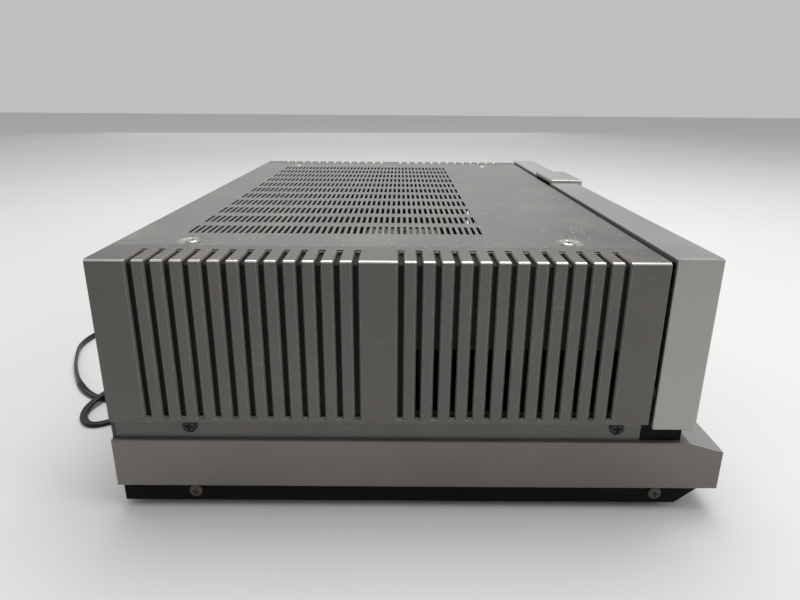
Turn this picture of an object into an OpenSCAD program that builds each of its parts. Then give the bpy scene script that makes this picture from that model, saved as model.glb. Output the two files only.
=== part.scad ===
// Power amplifier with ribbed side panels, slotted top cover and a two-pin lead.
// Millimetres, +Z up, front towards -Y. The origin is on the surface that the feet
// stand on, under the middle of the case and its rear sockets.

/* [Case] */
// Width over the side panels
body_w = 435; // [405:1:500]
// Depth of the ribbed side panels and the top cover
cover_d = 273; // [263:1:330]
// Height of the ribbed side panels
cover_h = 85; // [80:1:110]
// Height of the rubber feet
foot_h = 4; // [3:0.5:12]
// Height of the black bottom pan
pan_h = 10; // [9:0.5:16]
// Height of the base tray
tray_h = 27; // [22:0.5:36]
// Height of the recessed lip under the ribbed faces
lip_h = 11.5; // [10:0.5:16]
// Reach of the base tray in front of the top cover
tray_reach = 42; // [38:1:60]
// Run of the sloping front edge of the base tray
slope_run = 18; // [10:1:24]
// Drop of the sloping front edge of the base tray
slope_drop = 5; // [3:0.5:8]
// Lean of the front of the bottom pan
pan_lean = 12; // [6:1:16]

/* [Side panels] */
// Thickness of the side panels
panel_t = 2.3; // [1.5:0.1:3]
// Width of the side panels' top flanges
flange_w = 27.5; // [24:0.5:32]
// Radius along the top edges
edge_r = 2; // [1:0.1:2.5]
// Grooves in each of the two groups on a side
groove_count = 13; // [6:1:13]
// Distance from one groove to the next
groove_pitch = 8.8; // [7:0.1:8.8]
// Width of a groove
groove_w = 2.4; // [2:0.1:4]
// Bevel along the edges of a groove
groove_bevel = 0.9; // [0.2:0.1:1.2]
// Distance from a panel's end to its first groove
groove_end = 20.2; // [14:0.1:20.2]
// How far the grooves run in over the top
groove_reach = 20.5; // [12:0.5:21]

/* [Top cover] */
// Thickness of the top cover
cover_t = 1.2; // [0.8:0.1:1.5]
// Rows of slots across the cover
slot_rows = 11; // [5:1:11]
// Slots in a row
slot_cols = 47; // [20:1:47]
// Length of a slot
slot_l = 19.5; // [10:0.5:24]
// Width of a slot
slot_w = 1.9; // [1.2:0.1:2.4]
// Distance from one row to the next
row_pitch = 30; // [26:0.5:30]
// Distance from one slot to the next along a row
slot_pitch = 3.5; // [3:0.1:3.5]
// Distance from the rear edge to the first slot
slot_rear = 29.4; // [24:0.1:40]
// Distance of the cover screws from the sides
dish_side = 40; // [38:1:46]
// Distance of the cover screws from the front and rear edges
dish_end = 38; // [20:1:40]
// Radius of the dishes that hold the cover screws
dish_r = 8.3; // [6:0.1:9]

/* [Front] */
// Height of the front panels
front_h = 90; // [86:1:110]
// Depth of the front panels
front_d = 22; // [20:0.5:28]
// Width of the left front panel with its meters
left_w = 252.8; // [250:0.2:262]
// Width of the raised block beside it
block_w = 61; // [54:1:66]
// Height of the block above the front panels
block_rise = 2.5; // [1:0.5:4]
// Reach of the block in front of the front panels
block_reach = 4.5; // [2:0.5:6]
// Radius of the level knobs
knob_r = 17; // [12:0.5:19]
// Length of the level knobs
knob_l = 13; // [9:0.5:14]
// Width of the power button
power_w = 34; // [20:1:40]
// Height of the power button
power_h = 16; // [10:1:20]
// Travel of the power button
power_travel = 4; // [2:0.5:4]
// Travel of the small buttons
button_travel = 3; // [1.5:0.5:3]

/* [Rear] */
// Reach of the speaker terminals behind the top cover
rear_reach = 20; // [18:1:26]
// Distance between the speaker terminals
terminal_pitch = 24; // [19:0.5:26]
// Radius of a speaker terminal cap
cap_r = 6; // [5:0.1:7]
// Radius of a speaker terminal stud
stud_r = 2; // [1.6:0.1:2.4]
// Distance between the two input sockets
socket_pitch = 20; // [16:0.5:24]

/* [Inside] */
// Width of the transformer's core
core_w = 100; // [80:1:110]
// Height of the transformer's core
core_h = 84; // [60:1:86]
// Radius of the filter capacitors
can_r = 31; // [20:1:34]
// Height of the filter capacitors
can_h = 80; // [50:1:84]
// Fins on a heat sink
fin_count = 17; // [8:1:20]
// Length of a heat sink
sink_l = 180; // [140:1:190]

/* [Hidden] */
$fn = 48;

gap = 0.2;          // clearance between pieces that only sit side by side
slide_gap = 0.3;    // clearance all round a sliding button
turn_gap = 0.05;    // radial running clearance of a turning piece

// Heights, from the feet up
pan_z = foot_h;
tray_z = pan_z + pan_h;
lip_z = tray_z + tray_h;
face_z = lip_z + lip_h;
top_z = face_z + cover_h;
front_z = face_z - 3;
front_top = front_z + front_h;
block_top = front_top + block_rise;

// Depths, as distances ahead of the cover's rear edge
tray_overhang = 1.5;
tray_front = cover_d + tray_reach;
rear_y = (tray_front + rear_reach) / 2 - rear_reach;
function ahead(u) = rear_y - u;
front_u = cover_d + 2.5;
face_u = front_u + front_d;
block_u = face_u + block_reach;
side_x = body_w / 2;

// Sheet and wall thicknesses
sheet_t = 1.2;
tray_t = 2.5;
tray_floor = 2;
front_t = 3;
rear_t = 1.4;

// Insets from the outer sides
tray_inset = 1.5;
pan_inset = 3;
lip_inset = 4.5;
subpanel_inset = 4.6;

// Screws: head radius, head height and shank radius
side_head_r = 3.7;
pan_head_r = 3.4;
head_h = 1.6;
shank_r = 1.9;
shank_gap = 0.3;
side_screw_u = [39, cover_d - 14];
pan_screw_u = [39, tray_front - 32];
pan_screw_z = tray_z - 3.8;
side_screw_z = face_z - 4.2;
foot_x = side_x - 37;
foot_u = [32, tray_front - 55];
foot_r = 11;

// Base tray outline points
slope_u = tray_front - slope_run;
pan_rear = 1;
pan_front = tray_front - 8.5;

// Front controls
block_x = left_w - side_x + gap;
right_x = block_x + block_w + gap;
block_mid = block_x + block_w / 2;
right_mid = (right_x + side_x) / 2;
knob_z = front_z + 58;
knob_x = [right_mid - 26, right_mid + 26];
button_z = front_z + 18;
button_w = 16;
button_h = 8;
button_out = 4;
power_z = front_z + 22;
lamp_z = front_z + 62;
lamp_r = 2.5;
shaft_r = 3;
bushing_r = 4.5;
stem = 5;
press_end = 4;      // how far in front of the sub-panel a pressed stem stops

// Meters
meter_w = 104;
meter_x = [left_w / 2 - side_x - 59, left_w / 2 - side_x + 59];
meter_low = front_z + 18;
meter_high = front_z + 74;
pivot_z = front_z + 19;
needle_l = 46;
needle_swing = 84;
pivot_r = 0.8;

// Rear sockets and terminals, where rear_face is how far the rear panel reaches
rear_face = rear_t + 0.1;
plate_t = 3;
terminal_x = -62;
terminal_z = face_z + 42;
socket_x = 140;
socket_z = face_z + 42;
socket_r = 4.15;
socket_l = 9;

// Inside
floor_z = tray_z + tray_floor + gap;
inner_x = side_x - panel_t - 0.1;
sink_x = side_x - 66;
sink_h = top_z - 14 - floor_z;
sink_base = 6;
fin_l = 36;
fin_t = 2;
sink_u = 34;
board_t = 1.6;

// Route of the lead: its centre line, as [x, distance behind the cover, height]
cord_w = 5;
cord_t = 2.5;
cord_route = [
    [10, 30, 56.5], [10, 38, 56], [10, 47, 52], [7, 57, 42], [-1, 62, 27],
    [-12, 58, 14], [-25, 49, 5], [-38, 38, 2], [-52, 28, 1.6], [-70, 21, 1.6],
    [-88, 20, 1.6], [-105, 25, 1.6], [-119, 35, 1.6], [-128, 45, 1.6],
    [-133, 54, 1.6], [-131, 61, 1.6], [-123, 67, 2], [-113, 69, 3],
    [-102, 67, 4.3], [-90, 65, 4], [-78, 64, 2.8], [-68, 58, 1.8],
    [-64, 46, 1.6], [-69, 34, 1.6], [-81, 28, 1.6], [-93, 32, 1.6],
    [-99, 43, 1.6], [-99, 55, 1.6], [-96, 69, 1.6], [-87, 82, 1.8],
    [-75, 93, 2.4], [-60, 103, 2.6], [-42, 113, 2.6], [-24, 121, 2.6],
    [-8, 127, 2.6], [6, 129, 2.6], [20, 128, 2.5], [36, 124, 2.2],
    [56, 121, 1.8], [84, 124, 2.2]
];
tail_route = [
    [95, 129.5, 4.65], [115, 126, 3.6], [130, 115, 2.2], [138, 97, 1.6],
    [139, 82, 1.6], [139, 67, 2.2], [142, 56, 3.6], [150, 48, 5.4], [161, 45, 6.6]
];
cord_rings = 2;
coil_x = 95;
coil_behind = 89;
coil_z = 0.9;
coil_turns_across = 3;
coil_layers = 2;
coil_r = 29.7;
rear_screw_x = side_x - 13;
rear_screw_z = [lip_z + 12, top_z - 26];

// ---------- Helpers ----------

// A block between two heights, from one side to the other, over a stretch of depth
module block(x, u, z) {
    translate([x[0], ahead(u[1]), z[0]])
        cube([x[1] - x[0], u[1] - u[0], z[1] - z[0]]);
}

// A block with every edge cut back by c
module eased_block(x, u, z, c) {
    hull() {
        block([x[0] + c, x[1] - c], [u[0] + c, u[1] - c], z);
        block([x[0] + c, x[1] - c], u, [z[0] + c, z[1] - c]);
        block(x, [u[0] + c, u[1] - c], [z[0] + c, z[1] - c]);
    }
}

// A side-view outline, given as [depth, height] points, stretched across the case
module across(x, points) {
    translate([x[0], 0, 0])
        rotate([90, 0, 90])
            linear_extrude(x[1] - x[0])
                polygon([for (p = points) [ahead(p[0]), p[1]]]);
}

// A front-view outline stretched over a stretch of depth
module along(u) {
    translate([0, ahead(u[0]), 0])
        rotate([90, 0, 0])
            linear_extrude(u[1] - u[0])
                children();
}

// A round bar that lies front to back
module rod(x, z, r, u) {
    translate([x, ahead(u[0]), z])
        rotate([90, 0, 0])
            cylinder(r = r, h = u[1] - u[0]);
}

// The same piece on the left side and on the right
module both_sides() {
    children();
    mirror([1, 0, 0]) children();
}

// A screw that points down: a rounded head with a cross recess, and its shank
module screw(head_r, length) {
    difference() {
        union() {
            cylinder(r = head_r, h = head_h * 0.55);
            translate([0, 0, head_h * 0.55])
                cylinder(r1 = head_r, r2 = head_r * 0.66, h = head_h * 0.45);
            translate([0, 0, -length]) cylinder(r = shank_r, h = length + 0.1);
        }
        for (a = [0, 90])
            rotate(a)
                translate([-head_r * 0.55, -0.45, head_h * 0.35])
                    cube([head_r * 1.1, 0.9, head_h]);
    }
}

// Where the four cover screws sit, seen from above
module at_dishes() {
    for (s = [-1, 1], u = [dish_end, cover_d - dish_end])
        translate([s * (side_x - dish_side), ahead(u), 0])
            children();
}

// Where the four feet sit, seen from above
module at_feet() {
    for (s = [-1, 1], u = foot_u)
        translate([s * foot_x, ahead(u), 0])
            children();
}

// ---------- Base ----------

module feet() {
    color("#202020")
        at_feet()
            difference() {
                union() {
                    cylinder(r1 = foot_r - 1, r2 = foot_r, h = 1);
                    translate([0, 0, 1]) cylinder(r = foot_r, h = foot_h - 1);
                }
                translate([0, 0, -1]) cylinder(r = 5, h = 2.8);
                translate([0, 0, -1]) cylinder(r = shank_r + shank_gap, h = foot_h + 2);
            }
}

module foot_screws() {
    color("#9a9a98")
        at_feet()
            translate([0, 0, 1.8]) rotate([180, 0, 0]) screw(side_head_r, 9);
}

module bottom_pan() {
    low = pan_z;
    in_x = side_x - pan_inset;
    slope = pan_lean / pan_h;
    color("#141414")
        difference() {
            across([-in_x, in_x], [
                [pan_rear, low], [pan_front - pan_lean, low],
                [pan_front, tray_z], [pan_rear, tray_z]
            ]);
            across([-in_x + sheet_t, in_x - sheet_t], [
                [pan_rear + sheet_t, low + sheet_t],
                [pan_front - pan_lean + slope * sheet_t - sheet_t * 1.6, low + sheet_t],
                [pan_front - sheet_t * 1.6 + slope, tray_z + 1],
                [pan_rear + sheet_t, tray_z + 1]
            ]);
            for (s = [-1, 1], i = [0:13])
                block([s * 105 - 35, s * 105 + 35], [60 + i * 12, 64 + i * 12],
                      [low - 1, low + sheet_t + 1]);
            at_feet() cylinder(r = shank_r + shank_gap, h = low + 4);
            for (u = pan_screw_u)
                translate([-side_x, ahead(u), pan_screw_z])
                    rotate([0, 90, 0]) cylinder(r = shank_r + shank_gap, h = body_w);
        }
}

module pan_screws() {
    color("#6f6a60")
        both_sides()
            for (u = pan_screw_u)
                translate([-side_x + pan_inset - 0.05, ahead(u), pan_screw_z])
                    rotate([0, -90, 0]) screw(pan_head_r, 7);
}

// The tray's cross-section: square below, eased along its two upper edges
module tray_section(half_w) {
    r = 1;
    translate([-half_w, tray_z]) square([half_w * 2, tray_h - r]);
    translate([-half_w + r, lip_z - r - 0.01]) square([(half_w - r) * 2, r + 0.01]);
    for (s = [-1, 1]) translate([s * (half_w - r), lip_z - r]) circle(r);
}

module base_tray() {
    half_w = side_x - tray_inset;
    slope = slope_drop / slope_run;
    in_top = lip_z - tray_floor;
    tab_z = [pan_screw_z - 3.6, tray_z + 0.1];
    color("#8f8d88")
        difference() {
            union() {
                intersection() {
                    across([-half_w, half_w], [
                        [-tray_overhang, tray_z], [tray_front, tray_z],
                        [tray_front, lip_z - slope_drop], [slope_u, lip_z],
                        [-tray_overhang, lip_z]
                    ]);
                    along([-tray_overhang - 1, tray_front + 1]) tray_section(half_w);
                }
                both_sides()
                    for (u = pan_screw_u)
                        block([-side_x + pan_inset + sheet_t + gap, -side_x + 8],
                              [u - 7, u + 7], tab_z);
            }
            across([-half_w + tray_t, half_w - tray_t], [
                [tray_t - tray_overhang, tray_z + tray_floor],
                [tray_front - tray_t, tray_z + tray_floor],
                [tray_front - tray_t, in_top - slope_drop + slope],
                [slope_u, in_top], [tray_t - tray_overhang, in_top]
            ]);
            block([-half_w + 12, half_w - 12], [8, cover_d - 8], [in_top - 1, lip_z + 1]);
            for (s = [-1, 1], i = [0:13])
                block([s * 105 - 35, s * 105 + 35], [60 + i * 12, 64 + i * 12],
                      [tray_z - 1, tray_z + tray_floor + 1]);
            at_feet() cylinder(r = shank_r + shank_gap, h = tray_z + 4);
            for (u = pan_screw_u)
                translate([-side_x, ahead(u), pan_screw_z])
                    rotate([0, 90, 0]) cylinder(r = shank_r + turn_gap, h = body_w);
        }
}

// ---------- Side panels ----------

// Distances from the rear end to the middle of each groove
groove_run = groove_pitch * (groove_count - 1);
groove_mids = [
    for (start = [groove_end, cover_d - groove_end - groove_run], i = [0:groove_count - 1])
        start + i * groove_pitch
];

// Cross-section of a side panel: top flange, ribbed face, and the lip under it
module panel_section() {
    x = -side_x;
    difference() {
        union() {
            translate([x + edge_r, top_z - edge_r]) circle(edge_r);
            translate([x + edge_r, top_z - panel_t]) square([flange_w - edge_r, panel_t]);
            translate([x, face_z]) square([panel_t, cover_h - edge_r]);
        }
        translate([x + panel_t, face_z]) square([edge_r * 3, cover_h - panel_t]);
    }
    translate([x, face_z]) square([lip_inset + panel_t, panel_t]);
}

// One groove, cut through the face and on over the top, with bevelled edges
module groove() {
    low = face_z + panel_t + 0.6;
    slot = [-groove_w / 2, groove_w / 2];
    bevel = groove_bevel;
    x = -side_x;
    translate([x - 1, slot[0], low]) cube([panel_t + 1.1, groove_w, cover_h]);
    translate([x - 1, slot[0], top_z - panel_t - 0.1])
        cube([groove_reach + 1, groove_w, panel_t + 1]);
    translate([x, 0, low - bevel])
        linear_extrude(cover_h)
            polygon([
                [-0.01, slot[0] - bevel], [bevel, slot[0]],
                [bevel, slot[1]], [-0.01, slot[1] + bevel]
            ]);
    translate([x - 1, 0, top_z])
        rotate([90, 0, 90])
            linear_extrude(groove_reach + 1 + bevel)
                polygon([
                    [slot[0] - bevel, 0.01], [slot[0], -bevel],
                    [slot[1], -bevel], [slot[1] + bevel, 0.01]
                ]);
}

module side_panel() {
    color("#7d7b77")
        difference() {
            union() {
                along([0, cover_d]) panel_section();
                block([-side_x + lip_inset, -side_x + lip_inset + panel_t],
                      [0, cover_d - 1.5], [lip_z + 0.05, face_z + 0.1]);
            }
            for (u = groove_mids) translate([0, ahead(u), 0]) groove();
            for (u = side_screw_u)
                translate([-side_x - 1, ahead(u), side_screw_z]) rotate([0, 90, 0]) {
                    cylinder(r = shank_r + shank_gap, h = 20);
                    cylinder(r = side_head_r + 0.6, h = lip_inset + 1);
                }
        }
}

module side_panel_left() { side_panel(); }
module side_panel_right() { mirror([1, 0, 0]) side_panel(); }

module side_screws() {
    color("#101010")
        both_sides()
            for (u = side_screw_u)
                translate([-side_x + lip_inset - 0.05, ahead(u), side_screw_z])
                    rotate([0, -90, 0]) screw(side_head_r, 7);
}

// The dark sheet behind the grooves, which carries the top cover and the side panel
module inner_plate() {
    out = -inner_x;
    low_x = -side_x + lip_inset + panel_t + 0.1;
    in_top = top_z - panel_t - 0.1;
    joggle = face_z + panel_t + 0.2;
    inner_r = 1.5;
    color("#2b2a28")
        difference() {
            union() {
                along([gap, cover_d - gap]) difference() {
                    union() {
                        translate([out + inner_r, in_top - inner_r]) circle(inner_r);
                        translate([out + inner_r, in_top - sheet_t])
                            square([52 - inner_r, sheet_t]);
                        translate([out, joggle])
                            square([sheet_t, in_top - inner_r - joggle]);
                    }
                    translate([out + sheet_t, joggle])
                        square([20, in_top - sheet_t - joggle]);
                }
                block([out, low_x + sheet_t], [gap, cover_d - 2], [joggle, joggle + sheet_t]);
                block([low_x, low_x + sheet_t], [gap, cover_d - 2], [lip_z + 0.05, joggle + 0.1]);
                block([low_x, low_x + 12], [gap, gap + sheet_t], [lip_z + 2, in_top - 4]);
            }
            block([out - 1, out + 3], [cover_d - groove_end - groove_run + 4, cover_d - 17],
                  [joggle + 3, face_z + 40]);
            at_dishes() translate([0, 0, in_top - 5]) cylinder(r = shank_r + turn_gap, h = 9);
            for (u = side_screw_u)
                translate([-side_x, ahead(u), side_screw_z])
                    rotate([0, 90, 0]) cylinder(r = shank_r + turn_gap, h = 20);
            for (z = rear_screw_z)
                rod(-rear_screw_x, z, shank_r + turn_gap, [-5, 5]);
        }
}

module inner_plate_left() { inner_plate(); }
module inner_plate_right() { mirror([1, 0, 0]) inner_plate(); }

// ---------- Top cover ----------

module top_cover() {
    half_w = side_x - flange_w - 0.4;
    row_start = -row_pitch * (slot_rows - 1) / 2 - slot_l / 2;
    color("#6f716c")
        difference() {
            union() {
                translate([0, 0, top_z - cover_t])
                    linear_extrude(cover_t)
                        difference() {
                            translate([-half_w, ahead(cover_d)]) square([half_w * 2, cover_d]);
                            for (row = [0:slot_rows - 1], col = [0:slot_cols - 1])
                                translate([row_start + row * row_pitch,
                                           ahead(slot_rear + slot_w + col * slot_pitch)])
                                    square([slot_l, slot_w]);
                        }
                at_dishes()
                    translate([0, 0, top_z - panel_t]) cylinder(r = dish_r + 1, h = panel_t - cover_t);
            }
            at_dishes() {
                translate([0, 0, top_z - 1.5])
                    cylinder(r1 = side_head_r + 0.3, r2 = dish_r, h = 1.51);
                translate([0, 0, top_z - 5]) cylinder(r = shank_r + shank_gap, h = 9);
            }
        }
}

module top_screws() {
    color("#c4c1bb")
        at_dishes() translate([0, 0, top_z - 1.45]) screw(side_head_r, 8);
}

// ---------- Front ----------

module front_subpanel() {
    in_x = side_x - subpanel_inset;
    color("#0c0c0d")
        difference() {
            union() {
                block([-in_x, in_x], [cover_d + 0.3, front_u - 0.1], [lip_z + 0.05, top_z - 0.5]);
                block([-in_x, in_x], [cover_d - 1.3, face_u - 4.5], [lip_z + 0.05, front_z - 0.1]);
            }
            for (x = meter_x) rod(x, pivot_z, 3, [cover_d - 2, front_u + 1]);
            rod(block_mid, lamp_z, 3, [cover_d - 2, front_u + 1]);
        }
}

// One hollow front panel with eased edges, open at the back
module front_shell(x, reach, top, ease) {
    difference() {
        eased_block(x, [front_u, reach], [front_z, top], ease);
        block([x[0] + front_t, x[1] - front_t], [front_u - 1, reach - front_t],
              [front_z + front_t, top - front_t]);
    }
}

window_x = [meter_x[0] - meter_w / 2 - 2, meter_x[1] + meter_w / 2 + 2];
window_z = [meter_low - 2, meter_high + 2];
pane_u = face_u - front_t - gap;
bezel_u = pane_u - 2 - gap;
scale_u = bezel_u - 4 - 4.2;

module front_panel_left() {
    color("#b9b9b4")
        difference() {
            front_shell([-side_x, block_x - gap], face_u, front_top, 0.6);
            block(window_x, [face_u - front_t - 1, face_u + 1], window_z);
        }
}

module front_panel_right() {
    color("#b9b9b4")
        difference() {
            front_shell([right_x, side_x], face_u, front_top, 0.6);
            for (x = knob_x) {
                rod(x, knob_z, bushing_r + 0.1, [face_u - front_t - 1, face_u + 1]);
                block([x - button_w / 2 - slide_gap, x + button_w / 2 + slide_gap],
                      [face_u - front_t - 1, face_u + 1],
                      [button_z - button_h / 2 - slide_gap, button_z + button_h / 2 + slide_gap]);
            }
        }
}

module front_block() {
    color("#c3c3be")
        difference() {
            front_shell([block_x, block_x + block_w], block_u, block_top, 0.8);
            block([block_mid - power_w / 2 - slide_gap, block_mid + power_w / 2 + slide_gap],
                  [block_u - front_t - 1, block_u + 1],
                  [power_z - power_h / 2 - slide_gap, power_z + power_h / 2 + slide_gap]);
            rod(block_mid, lamp_z, lamp_r + 0.1, [block_u - front_t - 1, block_u + 1]);
        }
}

// ---------- Meters ----------

module meter_window() {
    color("#cfe0e0", 0.35)
        block([window_x[0] - 3, window_x[1] + 3], [pane_u - 2, pane_u],
              [window_z[0] - 3, window_z[1] + 3]);
}

module meter_bezel() {
    color("#0a0a0a")
        difference() {
            block([window_x[0] - 3, window_x[1] + 3], [bezel_u - 4, bezel_u],
                  [window_z[0] - 3, window_z[1] + 3]);
            for (x = meter_x)
                block([x - meter_w / 2, x + meter_w / 2], [bezel_u - 5, bezel_u + 1],
                      [meter_low + 9, meter_high - 6]);
        }
}

module meter_scales() {
    color("#e8dfc0")
        for (x = meter_x)
            difference() {
                block([x - meter_w / 2 - 2, x + meter_w / 2 + 2], [scale_u - 1, scale_u],
                      [meter_low - 2, meter_high + 2]);
                rod(x, pivot_z, 2, [scale_u - 2, scale_u + 1]);
            }
}

module meter_movements() {
    color("#5a5a5c")
        for (x = meter_x)
            difference() {
                rod(x, pivot_z, 13, [front_u + 0.6, scale_u - 1 - gap]);
                rod(x, pivot_z, pivot_r + turn_gap, [front_u + 2.4, scale_u]);
            }
}

module meter_lamps() {
    color("#ffe9b0")
        for (x = meter_x, s = [-1, 1])
            rod(x + s * 28, meter_high - 2.5, 2, [scale_u + 0.9, bezel_u - 4.3]);
}

// A pointer on its spindle, resting at the left end of the scale
module needle(x) {
    needle_t = 0.6;
    color("#141414") {
        translate([x, ahead(scale_u + 1.6), pivot_z])
            rotate([0, -needle_swing / 2, 0]) {
                translate([-0.5, 0, -7]) cube([1, needle_t, needle_l + 7]);
                translate([-2, 0, -10]) cube([4, needle_t, 5]);
            }
        rod(x, pivot_z, 2.6, [scale_u + 0.9, scale_u + 2]);
        rod(x, pivot_z, pivot_r, [front_u + 2.8, scale_u + 2.6]);
    }
}

module needle_left() { needle(meter_x[0]); }
module needle_right() { needle(meter_x[1]); }

// ---------- Buttons and their switches ----------

// A button cap in front, with a flange behind the panel and a stem for its switch
module button(x, z, w, h, panel_u, out, ease, stem_u) {
    eased_block([x - w / 2, x + w / 2], [panel_u - front_t - 1, panel_u + out],
                [z - h / 2, z + h / 2], ease);
    block([x - w / 2 - 1.5, x + w / 2 + 1.5],
          [panel_u - front_t - 3, panel_u - front_t - 0.4],
          [z - h / 2 - 1.5, z + h / 2 + 1.5]);
    block([x - stem / 2, x + stem / 2], [stem_u, panel_u - front_t - 2.9],
          [z - stem / 2, z + stem / 2]);
}

// A switch that takes a button's stem
module switch_box(x, z, w, h, front) {
    hole = stem / 2 + slide_gap;
    difference() {
        block([x - w / 2, x + w / 2], [front_u + 0.6, front], [z - h / 2, z + h / 2]);
        block([x - hole, x + hole], [front_u + 2.4, front + 1], [z - hole, z + hole]);
    }
}

module power_button() {
    color("#8c8c88")
        button(block_mid, power_z, power_w, power_h, block_u, 5, 0.8,
               front_u + press_end + power_travel);
}

module power_switch() {
    color("#2f3134") switch_box(block_mid, power_z, 24, 20, front_u + 12);
}

module power_lamp() {
    color("#c22a1e") {
        rod(block_mid, lamp_z, lamp_r, [block_u - front_t - 3, block_u + 0.8]);
        rod(block_mid, lamp_z, lamp_r + 1, [block_u - front_t - 4, block_u - front_t - 0.2]);
    }
}

module speaker_button() {
    color("#8c8c88")
        button(knob_x[0], button_z, button_w, button_h, face_u, button_out, 0.5,
               front_u + press_end + button_travel);
}

module range_button() {
    color("#8c8c88")
        button(knob_x[1], button_z, button_w, button_h, face_u, button_out, 0.5,
               front_u + press_end + button_travel);
}

module button_switches() {
    color("#2f3134")
        for (x = knob_x) switch_box(x, button_z, 15, 13, front_u + 10.5);
}

// ---------- Level controls ----------

module level_controls() {
    color("#6d6e70")
        for (x = knob_x)
            difference() {
                union() {
                    rod(x, knob_z, 12, [front_u + 0.6, face_u - front_t - 5]);
                    rod(x, knob_z, bushing_r, [face_u - front_t - 5.1, face_u + 2.4]);
                    rod(x, knob_z, 6.5, [face_u + 0.1, face_u + 1.9]);
                }
                rod(x, knob_z, shaft_r + turn_gap, [front_u + 2, face_u + 5]);
            }
}

module level_shaft(x) {
    color("#b5b5b0")
        rod(x, knob_z, shaft_r, [front_u + 2.6, face_u + knob_l - 1]);
}

module level_knob(x) {
    flutes = 40;
    flute_r = 0.7;
    back = face_u + 3;
    color("#9c9c98")
        translate([x, ahead(back), knob_z]) rotate([90, 0, 0])
            difference() {
                union() {
                    cylinder(r = knob_r, h = 2);
                    linear_extrude(knob_l - 1)
                        difference() {
                            circle(knob_r - 1.5);
                            for (i = [0:flutes - 1])
                                rotate(i * 360 / flutes)
                                    translate([knob_r - 1.2, 0]) circle(flute_r, $fn = 24);
                        }
                    translate([0, 0, knob_l - 1.01])
                        cylinder(r1 = knob_r - 2.2, r2 = knob_r - 3.2, h = 1.01);
                }
                translate([0, 0, -1]) cylinder(r = shaft_r + 0.02, h = knob_l - 2.9);
                translate([-0.5, knob_r * 0.35, knob_l - 0.5]) cube([1, knob_r * 0.6, 1]);
            }
}

module level_knob_left() { level_knob(knob_x[0]); }
module level_knob_right() { level_knob(knob_x[1]); }
module level_shaft_left() { level_shaft(knob_x[0]); }
module level_shaft_right() { level_shaft(knob_x[1]); }

// ---------- Rear ----------

// The four speaker terminals: columns for the two channels, rows for the two poles
terminals = [
    for (z = [terminal_z, terminal_z - terminal_pitch], s = [-1, 1])
        [terminal_x + s * terminal_pitch / 2, z]
];
sockets = [for (i = [0, 1]) [socket_x, socket_z - i * socket_pitch]];
gland_x = cord_route[0][0];
gland_z = cord_route[0][2];
gland_r = 6;

module rear_panel() {
    in_x = side_x - 4.2;
    through = [-rear_face - 1, 1];
    color("#3a3b3a")
        difference() {
            block([-in_x, in_x], [-rear_face, -0.1], [lip_z + 0.05, top_z - cover_t - gap]);
            for (p = sockets) rod(p[0], p[1], 3.5, through);
            for (p = terminals) rod(p[0], p[1], stud_r + 2, through);
            rod(gland_x, gland_z, gland_r + 0.1, through);
            for (s = [-1, 1], z = rear_screw_z)
                rod(s * rear_screw_x, z, shank_r + shank_gap, through);
        }
}

module rear_screws() {
    color("#101010")
        for (s = [-1, 1], z = rear_screw_z)
            translate([s * rear_screw_x, ahead(-rear_face - 0.05), z])
                rotate([-90, 0, 0]) screw(side_head_r, 7);
}

module input_plate() {
    color("#121212")
        difference() {
            block([socket_x - 11, socket_x + 11], [-rear_face - 2, -rear_face - 0.05],
                  [socket_z - socket_pitch - 11, socket_z + 11]);
            for (p = sockets) rod(p[0], p[1], 3.5, [-rear_face - 3, 0]);
        }
}

module input_sockets() {
    back = -rear_face - 2.05;
    color("#b9a878")
        for (p = sockets)
            difference() {
                union() {
                    rod(p[0], p[1], 5.4, [back - 1.2, back]);
                    rod(p[0], p[1], socket_r, [back - socket_l, back]);
                }
                rod(p[0], p[1], 3.45, [back - socket_l - 1, back + 1]);
            }
}

module input_inserts() {
    back = -rear_face - 2.05;
    for (i = [0, 1])
        color(i == 0 ? "#e6e6e2" : "#b3271f")
            difference() {
                rod(sockets[i][0], sockets[i][1], 3.2, [back - socket_l + 1, 5]);
                rod(sockets[i][0], sockets[i][1], 1.6, [back - socket_l, -1]);
            }
}

module terminal_plate() {
    reach = terminal_pitch / 2 + 13;
    color("#151515")
        difference() {
            block([terminal_x - reach, terminal_x + reach],
                  [-rear_face - plate_t, -rear_face - 0.05],
                  [terminal_z - terminal_pitch - 12, terminal_z + 12]);
            for (p = terminals)
                rod(p[0], p[1], stud_r + turn_gap, [-rear_face - plate_t - 1, 0]);
        }
}

module terminal_studs() {
    front = -rear_face - plate_t;
    color("#c9c9c4")
        for (p = terminals) {
            rod(p[0], p[1], stud_r, [-rear_reach, 8]);
            rod(p[0], p[1], 4.6, [front - 1.6, front - 0.05]);
            translate([p[0], ahead(0.2), p[1]])
                rotate([90, 0, 0]) cylinder(r = 4, h = 3, $fn = 6);
        }
}

module terminal_cap(i) {
    notches = 16;
    inner = -rear_face - plate_t - 1.6 - gap;
    length = rear_reach + inner - 0.8;
    color(i < 2 ? "#b3271f" : "#161616")
        translate([terminals[i][0], ahead(inner), terminals[i][1]])
            rotate([-90, 0, 0])
                difference() {
                    union() {
                        cylinder(r = cap_r - 1, h = length);
                        translate([0, 0, length * 0.3])
                            linear_extrude(length * 0.6)
                                difference() {
                                    circle(cap_r);
                                    for (k = [0:notches - 1])
                                        rotate(k * 360 / notches)
                                            translate([cap_r, 0]) circle(0.6, $fn = 24);
                                }
                    }
                    translate([0, 0, -1]) cylinder(r = stud_r + turn_gap, h = length + 2);
                }
}

module terminal_cap_1() { terminal_cap(0); }
module terminal_cap_2() { terminal_cap(1); }
module terminal_cap_3() { terminal_cap(2); }
module terminal_cap_4() { terminal_cap(3); }

// ---------- Inside ----------

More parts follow.
